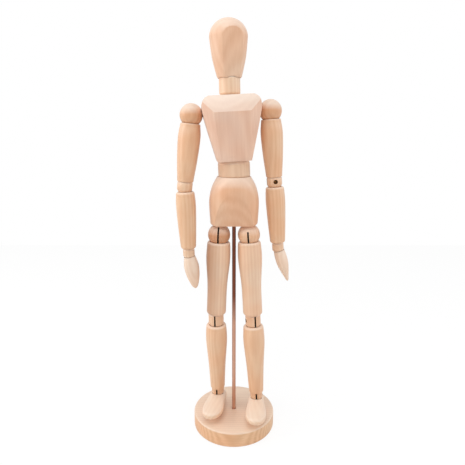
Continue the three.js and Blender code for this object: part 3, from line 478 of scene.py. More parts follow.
hips = {side: joint_place(side + "_leg_turn") for side in ("left", "right")}
hips_middle = (hips["left"] + hips["right"]) / 2
pelvis_place = Matrix.Translation(hips_middle * MM)
pelvis_under = hollow_drop(HIP_BALL, PELVIS_RIM_ON_HIP)
pelvis_top = pelvis_under + PELVIS_HEIGHT
pelvis_top_radius = hollow_edge(WAIST_BALL, PELVIS_RIM_ON_WAIST) + PELVIS_LIP
waist_above = pelvis_top + hollow_drop(WAIST_BALL, PELVIS_RIM_ON_WAIST)
pelvis_side = smooth_line([
    (PELVIS_FOOT_HALF_WIDTH, pelvis_under + PELVIS_CORNER),
    (PELVIS_HALF_WIDTH, pelvis_under + PELVIS_WIDEST_AT),
    ((PELVIS_HALF_WIDTH + pelvis_top_radius) / 2 + PELVIS_SWELL, pelvis_top - PELVIS_TAPER),
    (pelvis_top_radius, pelvis_top),
], 12)
corner_middle = (PELVIS_FOOT_HALF_WIDTH - PELVIS_CORNER, pelvis_under + PELVIS_CORNER)
pelvis_outline = [(0, pelvis_under)] + arc(corner_middle, PELVIS_CORNER, -90, 0, 6)
pelvis_outline += pelvis_side[1:] + [(0, pelvis_top)]
pelvis = turned("pelvis_block", pelvis_outline)
flattest = PELVIS_HALF_DEPTH / PELVIS_HALF_WIDTH
for vertex in pelvis.data.vertices:
    share = (vertex.co.z / MM - pelvis_under - PELVIS_WIDEST_AT) / (PELVIS_HEIGHT - PELVIS_WIDEST_AT)
    share = min(max(share, 0), 1)
    vertex.co.y *= flattest + (1 - flattest) * share * share * (3 - 2 * share)
slant = math.radians(PELVIS_FACE_SLANT)
face_top = (0, -PELVIS_HALF_DEPTH, pelvis_under + PELVIS_FACE_TOP)
sliced(pelvis, face_top, (0, -math.cos(slant), -math.sin(slant)))
cut_away(pelvis, ball_cutter(WAIST_BALL + CLEARANCE, (0, 0, waist_above)))
for across in (hips["left"].x, hips["right"].x):
    cut_away(pelvis, ball_cutter(HIP_BALL + CLEARANCE, (across, 0, 0)))
cut_away(pelvis, drill(ROD_HOLE_RADIUS, (0, 0, 0), (0, 0, pelvis_under + ROD_IN_PELVIS)))
eased(pelvis, width=0.35)
pin_low, pin_high = [corner / MM - hips_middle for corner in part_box("pelvis_pin")]
pin_above = (pin_low.z + pin_high.z) / 2
cut_away(pelvis, drill(PIN_HOLE, (pin_low.x, 0, pin_above), (PELVIS_HALF_WIDTH + CUT_PAST, 0, pin_above)))
cut_away(pelvis, drill(SPINE_BORE, (0, 0, pin_above - HOOK_LEAD), (0, 0, pelvis_top)))
for across in (hips["left"].x, hips["right"].x):
    cut_away(pelvis, drill(HIP_SPRING_BORE, (across, 0, 0), (across, 0, pin_above + HOOK_LEAD)))
smoothed(pelvis)
hollowed(pelvis, (WAIST_BALL, (0, 0, waist_above)), (HIP_BALL, hips["left"] - hips_middle),
         (HIP_BALL, hips["right"] - hips_middle))
set_down(pelvis, pelvis_place)
wooden(pelvis, "pelvis", "body_wood", pelvis_place, PELVIS_GRAIN_TURN, PELVIS_TONES, bleached=PELVIS_PAINTED_HIGHLIGHT)

# Waist
# A short turned barrel with round ends, bored through for the spine spring that pulls chest and pelvis on it.
WAIST_BARREL = 12.35
WAIST_BORE = 4.2
WAIST_TONES = ("EBCCAF", "DDB897")
WAIST_GRAIN_TURN = 40
BARREL_SIDES = 96


def barrel_outline(ball, barrel, bore):
    """A ball's outline, turned down to a barrel round its middle and bored through."""
    limit = math.degrees(math.acos(bore / ball))
    flat = math.degrees(math.acos(barrel / ball))
    lower = arc((0, 0), ball, -limit, -flat, 10)
    upper = arc((0, 0), ball, flat, limit, 10)
    return lower + upper + lower[:1]


chest_across = joint_axis("chest_bow")
chest_back = joint_axis("waist_lean")
chest_up = chest_across.cross(chest_back)
waist_place = placed(joint_place("waist_turn"), chest_up, chest_across)
waist = turned("waist_barrel", barrel_outline(WAIST_BALL, WAIST_BARREL, WAIST_BORE), BARREL_SIDES)
smoothed(waist, angle=20)
set_down(waist, waist_place)
wooden(waist, "waist", "joint_wood", waist_place, WAIST_GRAIN_TURN, WAIST_TONES)

# Chest
# A block sawn to a wedge, its long edges planed to soft chamfers, with two sloping cuts up to a ridge between
# the shoulders. It is hollowed for the waist, the neck and both shoulder balls.
NECK_BALL = 9.5
SHOULDER_BALL = 8.65
CHEST_RIM_ON_WAIST = 30.7
CHEST_RIM_ON_NECK = 42
CHEST_HEIGHT = 48
CHEST_HALF_DEPTH = 15
CHEST_UNDER_HALF_DEPTH = 13.5
CHEST_RIDGE_HALF_DEPTH = 9.5
CHEST_SLOPE_DROP = 12
CHEST_FLAT_HALF_WIDTHS = (9.9, 13.5)
CHEST_CHAMFER_BACK = 4.5
CHEST_WIDTHS = ((0, 12.8), (24, 18.9), (36, 21.6), (41, 21.9), (45, 20.8), (47, 18.8), (48, 16.6))
CHEST_TONES = ("ECCCB6", "DFB8A0")
# The chest's sloping top gets this share of painted highlight.
CHEST_PAINTED_HIGHLIGHT = 0.8
CHEST_GRAIN_TURN = 100
CHEST_BORE = 4.6
HOOK_HOLE = 2.9


def lofted(slices):
    """Draws the selected face, 1 mm from middle to sides, through (height, half width, half depth)."""
    height, half_width, half_depth = slices[0]
    bpy.ops.transform.resize(value=(half_width, half_depth, 1))
    bpy.ops.transform.translate(value=(0, 0, height * MM))
    for here in slices[1:]:
        bpy.ops.mesh.extrude_region_move(TRANSFORM_OT_translate={"value": (0, 0, (here[0] - height) * MM)})
        bpy.ops.transform.resize(value=(here[1] / half_width, here[2] / half_depth, 1))
        height, half_width, half_depth = here
    mesh_done()


chest_under = hollow_drop(WAIST_BALL, CHEST_RIM_ON_WAIST)
neck_above = chest_under + CHEST_HEIGHT + hollow_drop(NECK_BALL, CHEST_RIM_ON_NECK)
to_chest = waist_place.inverted()
shoulders = {side: to_chest @ (joint_place(side + "_arm_swing") * MM) / MM for side in ("left", "right")}
chest_slices = []
for height, half_width in smooth_line(CHEST_WIDTHS, 4):
    depth_share = min(height / (CHEST_HEIGHT - CHEST_SLOPE_DROP), 1)
    half_depth = CHEST_UNDER_HALF_DEPTH + (CHEST_HALF_DEPTH - CHEST_UNDER_HALF_DEPTH) * depth_share
    chest_slices.append((chest_under + height, half_width, half_depth))
chest = added("chest_block", bpy.ops.mesh.primitive_plane_add, size=2 * MM)
bpy.ops.object.mode_set(mode="EDIT")
lofted(chest_slices)
slope_foot = chest_under + CHEST_HEIGHT - CHEST_SLOPE_DROP
slope_run = CHEST_HALF_DEPTH - CHEST_RIDGE_HALF_DEPTH
chamfer_depth = CHEST_HALF_DEPTH - CHEST_CHAMFER_BACK
for front in (-1, 1):
    sliced(chest, (0, front * CHEST_HALF_DEPTH, slope_foot), (0, front * CHEST_SLOPE_DROP, slope_run))
    for outward in (-1, 1):
        low = Vector((outward * CHEST_FLAT_HALF_WIDTHS[0], front * CHEST_UNDER_HALF_DEPTH, chest_under))
        high = Vector((outward * CHEST_FLAT_HALF_WIDTHS[1], front * CHEST_HALF_DEPTH, slope_foot))
        back = Vector((outward * CHEST_WIDTHS[2][1], front * chamfer_depth, slope_foot))
        sliced(chest, high, (high - low).cross(back - high) * outward * front)
cut_away(chest, ball_cutter(WAIST_BALL + CLEARANCE, (0, 0, 0)))
cut_away(chest, ball_cutter(NECK_BALL + CLEARANCE, (0, 0, neck_above)))
for shoulder in shoulders.values():
    cut_away(chest, ball_cutter(SHOULDER_BALL + CLEARANCE, shoulder))
eased(chest, width=0.6, angle=20)
cut_away(chest, drill(CHEST_BORE, (0, 0, 0), (0, 0, neck_above)))
cut_away(chest, drill(HOOK_HOLE, shoulders["right"], shoulders["left"]))
smoothed(chest, angle=28)
hollowed(chest, (WAIST_BALL, (0, 0, 0)), (NECK_BALL, (0, 0, neck_above)),
         (SHOULDER_BALL, shoulders["left"]), (SHOULDER_BALL, shoulders["right"]))
set_down(chest, waist_place)
wooden(chest, "chest", "body_wood", waist_place, CHEST_GRAIN_TURN, CHEST_TONES, bleached=CHEST_PAINTED_HIGHLIGHT)

# Neck
# A turned barrel like the waist, between a hollow in the chest and one in the head.
NECK_BARREL = 7.9
NECK_BORE = 3.3
NECK_TONES = ("F2D2B3", "E6BE9B")
NECK_GRAIN_TURN = 15

head_across = joint_axis("head_nod")
head_up = head_across.cross(joint_axis("neck_lean"))
neck_place = placed(joint_place("neck_turn"), head_up, head_across)
neck = turned("neck_barrel", barrel_outline(NECK_BALL, NECK_BARREL, NECK_BORE), BARREL_SIDES)
smoothed(neck, angle=20)
set_down(neck, neck_place)
wooden(neck, "neck", "joint_wood", neck_place, NECK_GRAIN_TURN, NECK_TONES)

# Head
# A turned egg, hollowed below for the neck. The face is one flat saw cut that leans in towards the chin,
# with a second, steeper cut below the jaw.
HEAD_RIM_ON_NECK = 34
HEAD_HEIGHT = 41.3
HEAD_RADIUS = 14.1
HEAD_WIDEST_AT = 28
HEAD_CHEEK = (12.4, 14)
HEAD_LIP = 0.5
HEAD_EDGE = (1.1, 0.8)
HEAD_BORE = 5
HEAD_BORE_DEPTH = 16
FACE_AT_RIM = 8
FACE_LEAN = 8.2
JAW_AT = 10
JAW_LEAN = 11
HEAD_TONES = ("EDC8AA", "E0B593")
HEAD_GRAIN_TURN = 75
CROWN_STEPS = 16

head_under = hollow_drop(NECK_BALL, HEAD_RIM_ON_NECK)
head_rim = hollow_edge(NECK_BALL, HEAD_RIM_ON_NECK)
widest = head_under + HEAD_WIDEST_AT
cheek = smooth_line([
    (head_rim + HEAD_EDGE[0], head_under + HEAD_EDGE[1]), (HEAD_CHEEK[0], head_under + HEAD_CHEEK[1]),
    (HEAD_RADIUS, widest)], 12)
crown = []
for i in range(1, CROWN_STEPS + 1):
    angle = math.pi / 2 * i / CROWN_STEPS
    rise = (HEAD_HEIGHT - HEAD_WIDEST_AT) * math.sin(angle)
    crown.append((HEAD_RADIUS * math.cos(angle), widest + rise))
crown[-1] = (0, head_under + HEAD_HEIGHT)
head_bore_angle = math.degrees(math.acos(HEAD_BORE / (NECK_BALL + CLEARANCE)))
head_hollow = arc((0, 0), NECK_BALL + CLEARANCE, head_bore_angle, HEAD_RIM_ON_NECK, 10)
head_outline = [(0, head_under + HEAD_BORE_DEPTH), (head_hollow[0][0], head_under + HEAD_BORE_DEPTH)]
head_outline += head_hollow + [(head_rim + HEAD_LIP, head_under)] + cheek + crown
head = turned("head_egg", head_outline)
face_at_jaw = FACE_AT_RIM + JAW_AT * math.tan(math.radians(FACE_LEAN))
for out, up, lean in ((FACE_AT_RIM, 0, FACE_LEAN), (face_at_jaw, JAW_AT, JAW_LEAN)):
    leaning = (0, -math.cos(math.radians(lean)), -math.sin(math.radians(lean)))
    sliced(head, (0, -out, head_under + up), leaning)
eased(head, width=0.3)
smoothed(head)
hollowed(head, (NECK_BALL, (0, 0, 0)))
set_down(head, neck_place)
wooden(head, "head", "body_wood", neck_place, HEAD_GRAIN_TURN, HEAD_TONES)

# Shoulder balls
# Turned balls with a saw kerf from below, a hole for the shoulder spring's hook, and a steel pin across the
# kerf.
PIN_COUNTERBORE = 1.7
PIN_SINK = 2.6
PIN_WALL = 1.5
KERF_WIDTH = 1.3
KERF_SHARE = 0.4
WIRE_RADIUS = 0.4
EYE_RADIUS = 1.8
UP = Vector((0, 0, 1))
# The shoulder balls' tones are darker and warmer as painted shade on their undersides; the painted highlight
# pales their tops.
SHOULDER_TONES_AND_SHADE = ("E3B389", "D39C70")
# The shoulder balls' upward faces get this share of painted highlight.
SHOULDER_PAINTED_HIGHLIGHT = 0.65
SHOULDER_GRAIN_TURN = 30
SCORCH_SIZE = 0.8
# Near-black tones for the kerf: partly saw scorch, partly painted shade.
SCORCH_AND_SHADE_TONES = ("120803", "26160C")
SCORCH_SHINE = 0.1
SMALL_SIDES = 72
SIDES = {"left": 1, "right": -1}

# The saw scorches the kerf, and its near-black colour is also painted shade inside the narrow cut
scorched_and_shaded = rough_wood("scorched_saw_cut_and_painted_shade", SCORCH_SIZE, SCORCH_AND_SHADE_TONES, SCORCH_SHINE)


def kerfed_ball(name, ball, barrel, kerf_share=KERF_SHARE, hook=UP):
    """A ball, turned down to a barrel where it has one, with its kerf across X, its pin hole from +X and a
    wider hole on the side that a spring's hook comes from."""
    flat = math.degrees(math.acos(min(barrel / ball, 1)))
    lower = arc((0, 0), ball, -90, -flat, 16)
    upper = arc((0, 0), ball, flat, 90, 16)
    outline = lower + upper if flat > 0 else lower + upper[1:]
    outline[0] = (0, -ball)
    outline[-1] = (0, ball)
    piece = turned(name, outline, SMALL_SIDES)
    rise = ball * kerf_share
    past = ball + CUT_PAST
    kerf_middle = (0, 0, (rise - past) / 2 * MM)
    kerf = added("kerf", bpy.ops.mesh.primitive_cube_add, size=MM, location=kerf_middle)
    bpy.ops.object.mode_set(mode="EDIT")
    bpy.ops.transform.resize(value=(KERF_WIDTH, 2 * past, rise + past))
    bpy.ops.object.mode_set(mode="OBJECT")
    pin_hole = drill(PIN_HOLE, (PIN_WALL - barrel, 0, 0), (ball, 0, 0))
    counterbore = drill(PIN_COUNTERBORE, (barrel - PIN_SINK, 0, 0), (past, 0, 0))
    hook_hole = drill(HOOK_HOLE, -hook * (EYE_RADIUS + WIRE_RADIUS + CLEARANCE), hook * past)
    # The kerf gets the scorched material and the holes the end-grain one, both darkened in part as painted
    # shade.
    for cutter in (kerf, pin_hole, counterbore, hook_hole):
        cutter.data.materials.append(scorched_and_shaded if cutter == kerf else end_grain_and_shade)
        cut_away(piece, cutter)
    smoothed(piece, angle=24)
    return piece


for side, outward in SIDES.items():
    name = side + "_shoulder"
    place = placed(joint_place(side + "_arm_swing"), chest_up, chest_back)
    inward = Vector((0, outward, 0))
    piece = kerfed_ball(name + "_ball", SHOULDER_BALL, SHOULDER_BALL, hook=inward)
    set_down(piece, place)
    wooden(piece, name, "joint_wood", place, SHOULDER_GRAIN_TURN * outward, SHOULDER_TONES_AND_SHADE,
           bleached=SHOULDER_PAINTED_HIGHLIGHT)

# Upper arms
# Turned limbs, bored through for their spring, with a hollow at each end and the end edges eased.
LIMB_BORE = 2.6
LIMB_LIP = 0.5
LIMB_END = 2
BELLY_SHARE = 0.24
MIDDLE_SHARE = 0.6
ELBOW_BALL = 6.4
UPPER_ARM = {"length": 53.4, "top_swell": 0.6, "belly": 8.5, "middle": 7.8, "bottom_swell": 0.25}
ARM_ON_SHOULDER = (SHOULDER_BALL, 43)
ARM_ON_ELBOW = (ELBOW_BALL, 33)
UPPER_ARM_TONES = ("EBC29C", "DEAE86")
UPPER_ARM_GRAIN_TURNS = (120, 20)
EDGE_STEPS = 6


def twin(piece, name, place):
    """A copy of a piece with its own mesh, at a place of its own."""
    only(piece)
    bpy.ops.object.duplicate()
    copy = bpy.context.object
    copy.name = name
    set_down(copy, place)
    return copy


def paired(pattern, part, slot, places, grain_turns, tones):
    """Puts a copy of a pattern on each side, in its wood, and takes the pattern away."""
    for side, turn in zip(SIDES, grain_turns):
        piece = twin(pattern, f"{side}_{pattern.name}", places[side])
        wooden(piece, f"{side}_{part}", slot, places[side], turn, tones)
    bpy.data.objects.remove(pattern)


def limb(name, size, upper, lower):
    """A limb that hangs from the ball at its origin. Each seat is its ball and the rim's angle on it."""
    length = size["length"]
    top = -hollow_drop(*upper)
    bottom = hollow_drop(*lower) - length
    top_rim = hollow_edge(*upper) + LIMB_LIP
    bottom_rim = hollow_edge(*lower) + LIMB_LIP
    side = smooth_line([
        (bottom_rim + size["bottom_swell"], bottom + LIMB_END),
        (size["middle"], top + (bottom - top) * MIDDLE_SHARE),
        (size["belly"], top + (bottom - top) * BELLY_SHARE),
        (top_rim + size["top_swell"], top - LIMB_END),
    ], 10)
    angles = [math.pi / 2 * i / EDGE_STEPS for i in range(EDGE_STEPS)]
    ease = [(math.sin(angle), 1 - math.cos(angle)) for angle in angles]
    bottom_edge = [(bottom_rim + size["bottom_swell"] * s, bottom + LIMB_END * c) for s, c in ease]
    top_edge = [(top_rim + size["top_swell"] * s, top - LIMB_END * c) for s, c in reversed(ease)]
    bore_angles = [math.degrees(math.acos(LIMB_BORE / (ball + CLEARANCE))) for ball in (upper[0], lower[0])]
    top_hollow = arc((0, 0), upper[0] + CLEARANCE, -upper[1], -bore_angles[0], 8)
    bottom_hollow = arc((0, -length), lower[0] + CLEARANCE, bore_angles[1], lower[1], 8)
    outline = bottom_edge + side + top_edge + top_hollow + bottom_hollow + bottom_edge[:1]
    piece = turned(name, outline, SMALL_SIDES)
    smoothed(piece, angle=40)
    hollowed(piece, (upper[0], (0, 0, 0)), (lower[0], (0, 0, -length)))
    return piece


def ball_place(side, joint, below, above, pin, way=1):
    """A place at a side's joint, with Z up the line between two joints and X nearest to a pin, either way."""
    line = joint_place(f"{side}_{above}") - joint_place(f"{side}_{below}")
    return placed(joint_place(f"{side}_{joint}"), line, joint_axis(f"{side}_{pin}") * way)


def limb_place(side, start, end, pin):
    """The place of a limb that hangs from one joint to another, with X nearest to its pin."""
    return ball_place(side, start, end, start, pin)


upper_arm = limb("upper_arm_limb", UPPER_ARM, ARM_ON_SHOULDER, ARM_ON_ELBOW)
upper_arm_places = {side: limb_place(side, "arm_swing", "elbow_turn", "arm_lift") for side in SIDES}
paired(upper_arm, "upper_arm", "body_wood", upper_arm_places, UPPER_ARM_GRAIN_TURNS, UPPER_ARM_TONES)

# Elbows
# Small turned barrels, sawn and pinned like the shoulder balls. The left one shows its pin hole in front.
ELBOW_BARREL = 5.95
ELBOW_TONES = ("EECBA9", "E1B590")
ELBOW_GRAIN_TURNS = (80, -40)

elbow_barrel = kerfed_ball("elbow_barrel", ELBOW_BALL, ELBOW_BARREL)
elbow_places = {
    side: ball_place(side, "elbow_turn", "elbow_turn", "arm_swing", "elbow_bend") for side in SIDES}
paired(elbow_barrel, "elbow", "joint_wood", elbow_places, ELBOW_GRAIN_TURNS, ELBOW_TONES)

# Forearms
# Turned and bored like the upper arms, and a little thinner.
WRIST_BALL = 5.2
FOREARM = {"length": 53.3, "top_swell": 1.6, "belly": 7.7, "middle": 7.1, "bottom_swell": 1.5}
FOREARM_ON_ELBOW = (ELBOW_BALL, 40)
FOREARM_ON_WRIST = (WRIST_BALL, 42)
FOREARM_TONES = ("EBC49E", "DFB088")
FOREARM_GRAIN_TURNS = (90, -70)

forearm = limb("forearm_limb", FOREARM, FOREARM_ON_ELBOW, FOREARM_ON_WRIST)
forearm_places = {side: limb_place(side, "elbow_turn", "wrist_turn", "elbow_bend") for side in SIDES}
paired(forearm, "forearm", "body_wood", forearm_places, FOREARM_GRAIN_TURNS, FOREARM_TONES)

# Wrists
# The smallest barrels, bored through. The forearm's spring is linked to the hand's wire inside them.
WRIST_BARREL = 4.6
WRIST_TONES = ("EECCAB", "E0B490")
WRIST_GRAIN_TURNS = (45, -45)

wrist_barrel = turned("wrist_barrel", barrel_outline(WRIST_BALL, WRIST_BARREL, LIMB_BORE), 64)
smoothed(wrist_barrel, angle=20)
wrist_places = {}
for side in SIDES:
    upward = joint_place(side + "_elbow_turn") - joint_place(side + "_wrist_turn")
    across = joint_axis(side + "_hand_bend").cross(upward)
    wrist_places[side] = placed(joint_place(side + "_wrist_turn"), upward, across)
paired(wrist_barrel, "wrist", "joint_wood", wrist_places, WRIST_GRAIN_TURNS, WRIST_TONES)

# Hands
# Carved leaves with no fingers: widest below the wrist, thick at the heel of the hand and thin at the tip.
# Each is hollowed at the top to sit on its wrist, and held by a wire with an eye.
HAND_BEND = {"left": -12.5, "right": -7}
HAND_TURN = {"left": 80, "right": 0}
HAND_SLICES = (
    (-2.7, 4.3, 4.2), (-6.1, 5.2, 4.7), (-11, 6.0, 4.9), (-16.2, 5.7, 4.5), (-21.4, 4.8, 3.3),
    (-26.6, 3.2, 1.9), (-28.9, 2.2, 1.3), (-30.1, 1.2, 0.7), (-30.6, 0.4, 0.3),
)
HAND_TONES = ("F3D8C0", "EACAAF")
HAND_GRAIN_TURNS = (60, -60)

hand_leaf = added("hand_leaf", bpy.ops.mesh.primitive_circle_add, vertices=48, radius=MM, fill_type="NGON")
bpy.ops.object.mode_set(mode="EDIT")
lofted(smooth_line(HAND_SLICES, 5))
cut_away(hand_leaf, ball_cutter(WRIST_BALL + CLEARANCE, (0, 0, 0)))
eased(hand_leaf, width=0.4)
smoothed(hand_leaf, angle=50)
hollowed(hand_leaf, (WRIST_BALL, (0, 0, 0)))
hand_places = {}
for side in SIDES:
    bend = Matrix.Rotation(math.radians(HAND_BEND[side]), 4, "Y")
    hand_places[side] = wrist_places[side] @ bend @ Matrix.Rotation(math.radians(HAND_TURN[side]), 4, "Z")
paired(hand_leaf, "hand", "body_wood", hand_places, HAND_GRAIN_TURNS, HAND_TONES)

# Hip balls
# Turned balls with a kerf in front and a pin from the outside, which sit in the hollows under the pelvis.
# The right one is sawn deeper than the left.
HIP_KERF_SHARES = {"left": 0.4, "right": 0.8}
# The right hip ball's darker tones are painted shade, where the pelvis shades it; the left ball has the
# wood's own tones.
HIP_TONES_AND_SHADE = {"left": ("EBC4A0", "DEB08A"), "right": ("D49D71", "C1875B")}
HIP_GRAIN_TURN = 35

for side, outward in SIDES.items():
    name = side + "_hip"
    place = ball_place(side, "leg_turn", "knee_turn", "leg_turn", "leg_swing", -outward)
    piece = kerfed_ball(name + "_ball", HIP_BALL, HIP_BALL, HIP_KERF_SHARES[side])
    set_down(piece, place)
    wooden(piece, name, "joint_wood", place, HIP_GRAIN_TURN * outward, HIP_TONES_AND_SHADE[side])

# Thighs
# The thickest of the turned limbs, with a flared top that takes the hip ball. The right one has heartwood on
# its outer side.
KNEE_BALL = 7.5
THIGH = {"length": 72.3, "top_swell": 1.5, "belly": 9.7, "middle": 8.1, "bottom_swell": 1.5}
THIGH_ON_HIP = (HIP_BALL, 38)
THIGH_ON_KNEE = (KNEE_BALL, 40)
THIGH_TONES = ("EECDAE", "E4BC9C")
THIGH_HEART = {"left": 0.0, "right": 0.85}
THIGH_PITH = Vector((-1, -0.45, 0))

thigh = limb("thigh_limb", THIGH, THIGH_ON_HIP, THIGH_ON_KNEE)
for side in SIDES:
    name = side + "_thigh"
    place = limb_place(side, "leg_turn", "knee_turn", "leg_swing")
    piece = twin(thigh, name + "_limb", place)
    pith = place.to_3x3().inverted() @ THIGH_PITH
    grain_turn = math.degrees(math.atan2(pith.y, pith.x))
    wooden(piece, name, "body_wood", place, grain_turn, THIGH_TONES, heart=THIGH_HEART[side])
bpy.data.objects.remove(thigh)

# Knees
# Turned barrels, sawn in front and behind and pinned across. The left one is turned out with its shin.
KNEE_BARREL = 6.3
KNEE_KERF_SHARE = 0.6
KNEE_TONES = ("EECAA8", "E0B38E")
KNEE_GRAIN_TURNS = (50, -50)

knee_barrel = kerfed_ball("knee_barrel", KNEE_BALL, KNEE_BARREL, KNEE_KERF_SHARE)
knee_places = {
    side: ball_place(side, "knee_turn", "ankle_turn", "knee_turn", "knee_bend", -1) for side in SIDES}
paired(knee_barrel, "knee", "joint_wood", knee_places, KNEE_GRAIN_TURNS, KNEE_TONES)

# Shins
# Turned limbs with a calf near the top and a straighter run down to the ankle.
ANKLE_BALL = 5.8
SHIN = {"length": 68, "top_swell": 1.9, "belly": 8.9, "middle": 7.3, "bottom_swell": 0.3}
SHIN_ON_KNEE = (KNEE_BALL, 40)
SHIN_ON_ANKLE = (ANKLE_BALL, 28)
SHIN_TONES = ("EBC39D", "DFB089")
SHIN_GRAIN_TURNS = (80, -50)

shin = limb("shin_limb", SHIN, SHIN_ON_KNEE, SHIN_ON_ANKLE)
shin_places = {side: limb_place(side, "knee_turn", "ankle_turn", "knee_bend") for side in SIDES}
paired(shin, "shin", "body_wood", shin_places, SHIN_GRAIN_TURNS, SHIN_TONES)

# Ankles
# The lowest barrels, sawn and pinned like the knees, half sunk in the tops of the feet.
ANKLE_BARREL = 5.3
ANKLE_TONES = ("E9C09B", "DAA981")
ANKLE_GRAIN_TURNS = (25, -25)

ankle_barrel = kerfed_ball("ankle_barrel", ANKLE_BALL, ANKLE_BARREL)
ankle_places = {}
for side, outward in SIDES.items():
    ankle_places[side] = ball_place(side, "ankle_turn", "ankle_turn", "knee_turn", "foot_bend", outward)
paired(ankle_barrel, "ankle", "joint_wood", ankle_places, ANKLE_GRAIN_TURNS, ANKLE_TONES)

# Feet
# Carved ovals, broad and thin at the toe and high at the ankle, with a flat sole that lifts under the toe.
FOOT_HEADING = {"left": -4, "right": -12}
TOE_UP = 3
FOOT_SLICES = (
    (10, 2.2, -10.6, -7.4), (9.2, 4.6, -13.4, -5.2), (7, 6.3, -14.5, -3.2), (3, 6.9, -14.5, -2.6),
    (-2, 7.1, -14.5, -2.6), (-7, 7.6, -14.5, -3.0), (-12, 8.3, -14.4, -4.0), (-17, 8.6, -14.1, -4.8),
    (-22, 8.0, -13.4, -5.5), (-26.5, 6.1, -12.5, -6.1), (-29.1, 3.6, -11.5, -7.0), (-30, 1.5, -10.2, -8.2),
)
FOOT_SQUARENESS = 2.6
FOOT_TONES = ("F0D1B3", "E5BE9B")
FOOT_GRAIN_TURN = 50


def squarer(share):
    """A share of a circle's radius, moved out so that the circle gets squarer corners."""
    return math.copysign(abs(share) ** (2 / FOOT_SQUARENESS), share)


foot_lines = smooth_line(FOOT_SLICES, 4)
foot_block = added("foot_block", bpy.ops.mesh.primitive_circle_add, vertices=48, radius=MM, fill_type="NGON")
bpy.ops.object.mode_set(mode="EDIT")
for _ in foot_lines[1:]:
    bpy.ops.mesh.extrude_region_move(TRANSFORM_OT_translate={"value": (0, 0, MM)})
bpy.ops.object.mode_set(mode="OBJECT")
for vertex in foot_block.data.vertices:
    forward, half_width, low, high = foot_lines[round(vertex.co.z / MM)]
    across = squarer(vertex.co.x / MM) * half_width
    height = (low + high) / 2 + squarer(vertex.co.y / MM) * (high - low) / 2
    vertex.co = Vector((across, forward, height)) * MM
only(foot_block)
bpy.ops.object.mode_set(mode="EDIT")
mesh_done()
cut_away(foot_block, ball_cutter(ANKLE_BALL + CLEARANCE, (0, 0, 0)))
eased(foot_block, width=0.3, angle=50)
smoothed(foot_block, angle=45)
hollowed(foot_block, (ANKLE_BALL, (0, 0, 0)))
for side, outward in SIDES.items():
    name = side + "_foot"
    turn = Matrix.Rotation(math.radians(FOOT_HEADING[side]), 4, "Z")
    lift = Matrix.Rotation(math.radians(-TOE_UP), 4, "X")
    place = Matrix.Translation(joint_place(side + "_ankle_turn") * MM) @ turn @ lift
    piece = twin(foot_block, name + "_block", place)
    lengthways = place @ Matrix.Rotation(math.pi / 2, 4, "X")
    wooden(piece, name, "body_wood", lengthways, FOOT_GRAIN_TURN * outward, FOOT_TONES)
bpy.data.objects.remove(foot_block)

# Springs
# Tension springs, wound from bright steel wire with an open eye at each end. They run through the bored
# pieces and pull every joint together, and each eye sits on its pin.
EYE_ANGLES = (-35, 22, 79, 136, 193, 250)
HOOK_ASIDE = 1.05
LINK_ASIDE = 0.85
BALL_LEAD = 1.5
COIL_RADIUS = 1.7
COIL_PITCH = 1.5
COIL_STEPS = 8
CROSS_WIRE_HALF = 6
CROSS_WIRE_LEAD = 2
SPRING_HEADROOM = 1
SPRING_GLOSS = (0.22, 0.4)
SPRING_TONES = ("8F9296", "C6C9CC")
SPINE_BEND = (4, 24)
NECK_LEAN_BEND = (-13, -4)
NECK_BEND = (2, 18)
MARK_SIZE = 0.6
ACROSS = Vector((1, 0, 0))
LIMB_SPRINGS = {
    "upper_arm": ("arm_swing", "arm_lift", SHOULDER_BALL, "elbow", "elbow_bend"),
    "forearm": ("elbow_turn", "elbow_bend", ELBOW_BALL, "wrist", "hand_bend"),
    "thigh": ("leg_turn", "leg_swing", HIP_BALL, "knee", "knee_bend"),
    "shin": ("knee_turn", "knee_bend", KNEE_BALL, "ankle", "foot_bend"),
}


def steel(name, gloss, tones):
    """Drawn steel, with fine changes of gloss and tone where it was rolled or wound."""
    material, tree, shader = new_material(name)
    coordinates = add_node(tree, "ShaderNodeTexCoord")
    marks = noise(tree, coordinates.outputs["Object"], MARK_SIZE)
    tree.links.new(remapped(tree, marks, after=gloss), shader.inputs["Roughness"])
    tree.links.new(toned(tree, marks, tones), shader.inputs["Base Color"])
    shader.inputs["Metallic"].default_value = 1.0
    return material


def eye(axis, aside, height, up=1):
    """Points round an open eye about an axis, from its free end, or the other way at a spring's lower end."""
    sideways = UP.cross(axis)
    middle = axis * aside + UP * height
    points = []
    for angle in EYE_ANGLES:
        out = math.cos(math.radians(angle)) * EYE_RADIUS
        rise = math.sin(math.radians(angle)) * EYE_RADIUS * up
        points.append(middle + sideways * out + UP * rise)
    return points if up > 0 else points[::-1]


def coil(top, bottom):
    """Points on whole turns of a coil, from one height down to another."""
    count = max(round((top - bottom) / COIL_PITCH), 1) * COIL_STEPS
    points = []
    for i in range(count + 1):
        angle = math.tau * i / COIL_STEPS
        height = top + (bottom - top) * i / count
        points.append(Vector((COIL_RADIUS * math.cos(angle), COIL_RADIUS * math.sin(angle), height)))
    return points


def wire(name, points):
    """A round wire, bent along a smooth line through points in millimetres."""
    line = smooth_line(points, 2)
    piece = added(name, bpy.ops.curve.primitive_nurbs_path_add)
    path = piece.data.splines[0]
    path.type = "POLY"
    path.points.add(len(line) - len(path.points))
    for point, place in zip(path.points, line):
        point.co = (Vector(place) * MM).to_4d()
    piece.data.bevel_depth = WIRE_RADIUS * MM
    piece.data.bevel_resolution = 2
    piece.data.use_fill_caps = True
    bpy.ops.object.convert(target="MESH")
    piece = bpy.context.object
    smoothed(piece)
    return piece


def strung(piece, node, place, bodies, start, end):
    """Puts a spring in its place. The bodies, start and end are not used."""
    set_down(piece, place)
    piece.data.materials.append(spring_steel)
    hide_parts(node)
    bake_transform(piece)


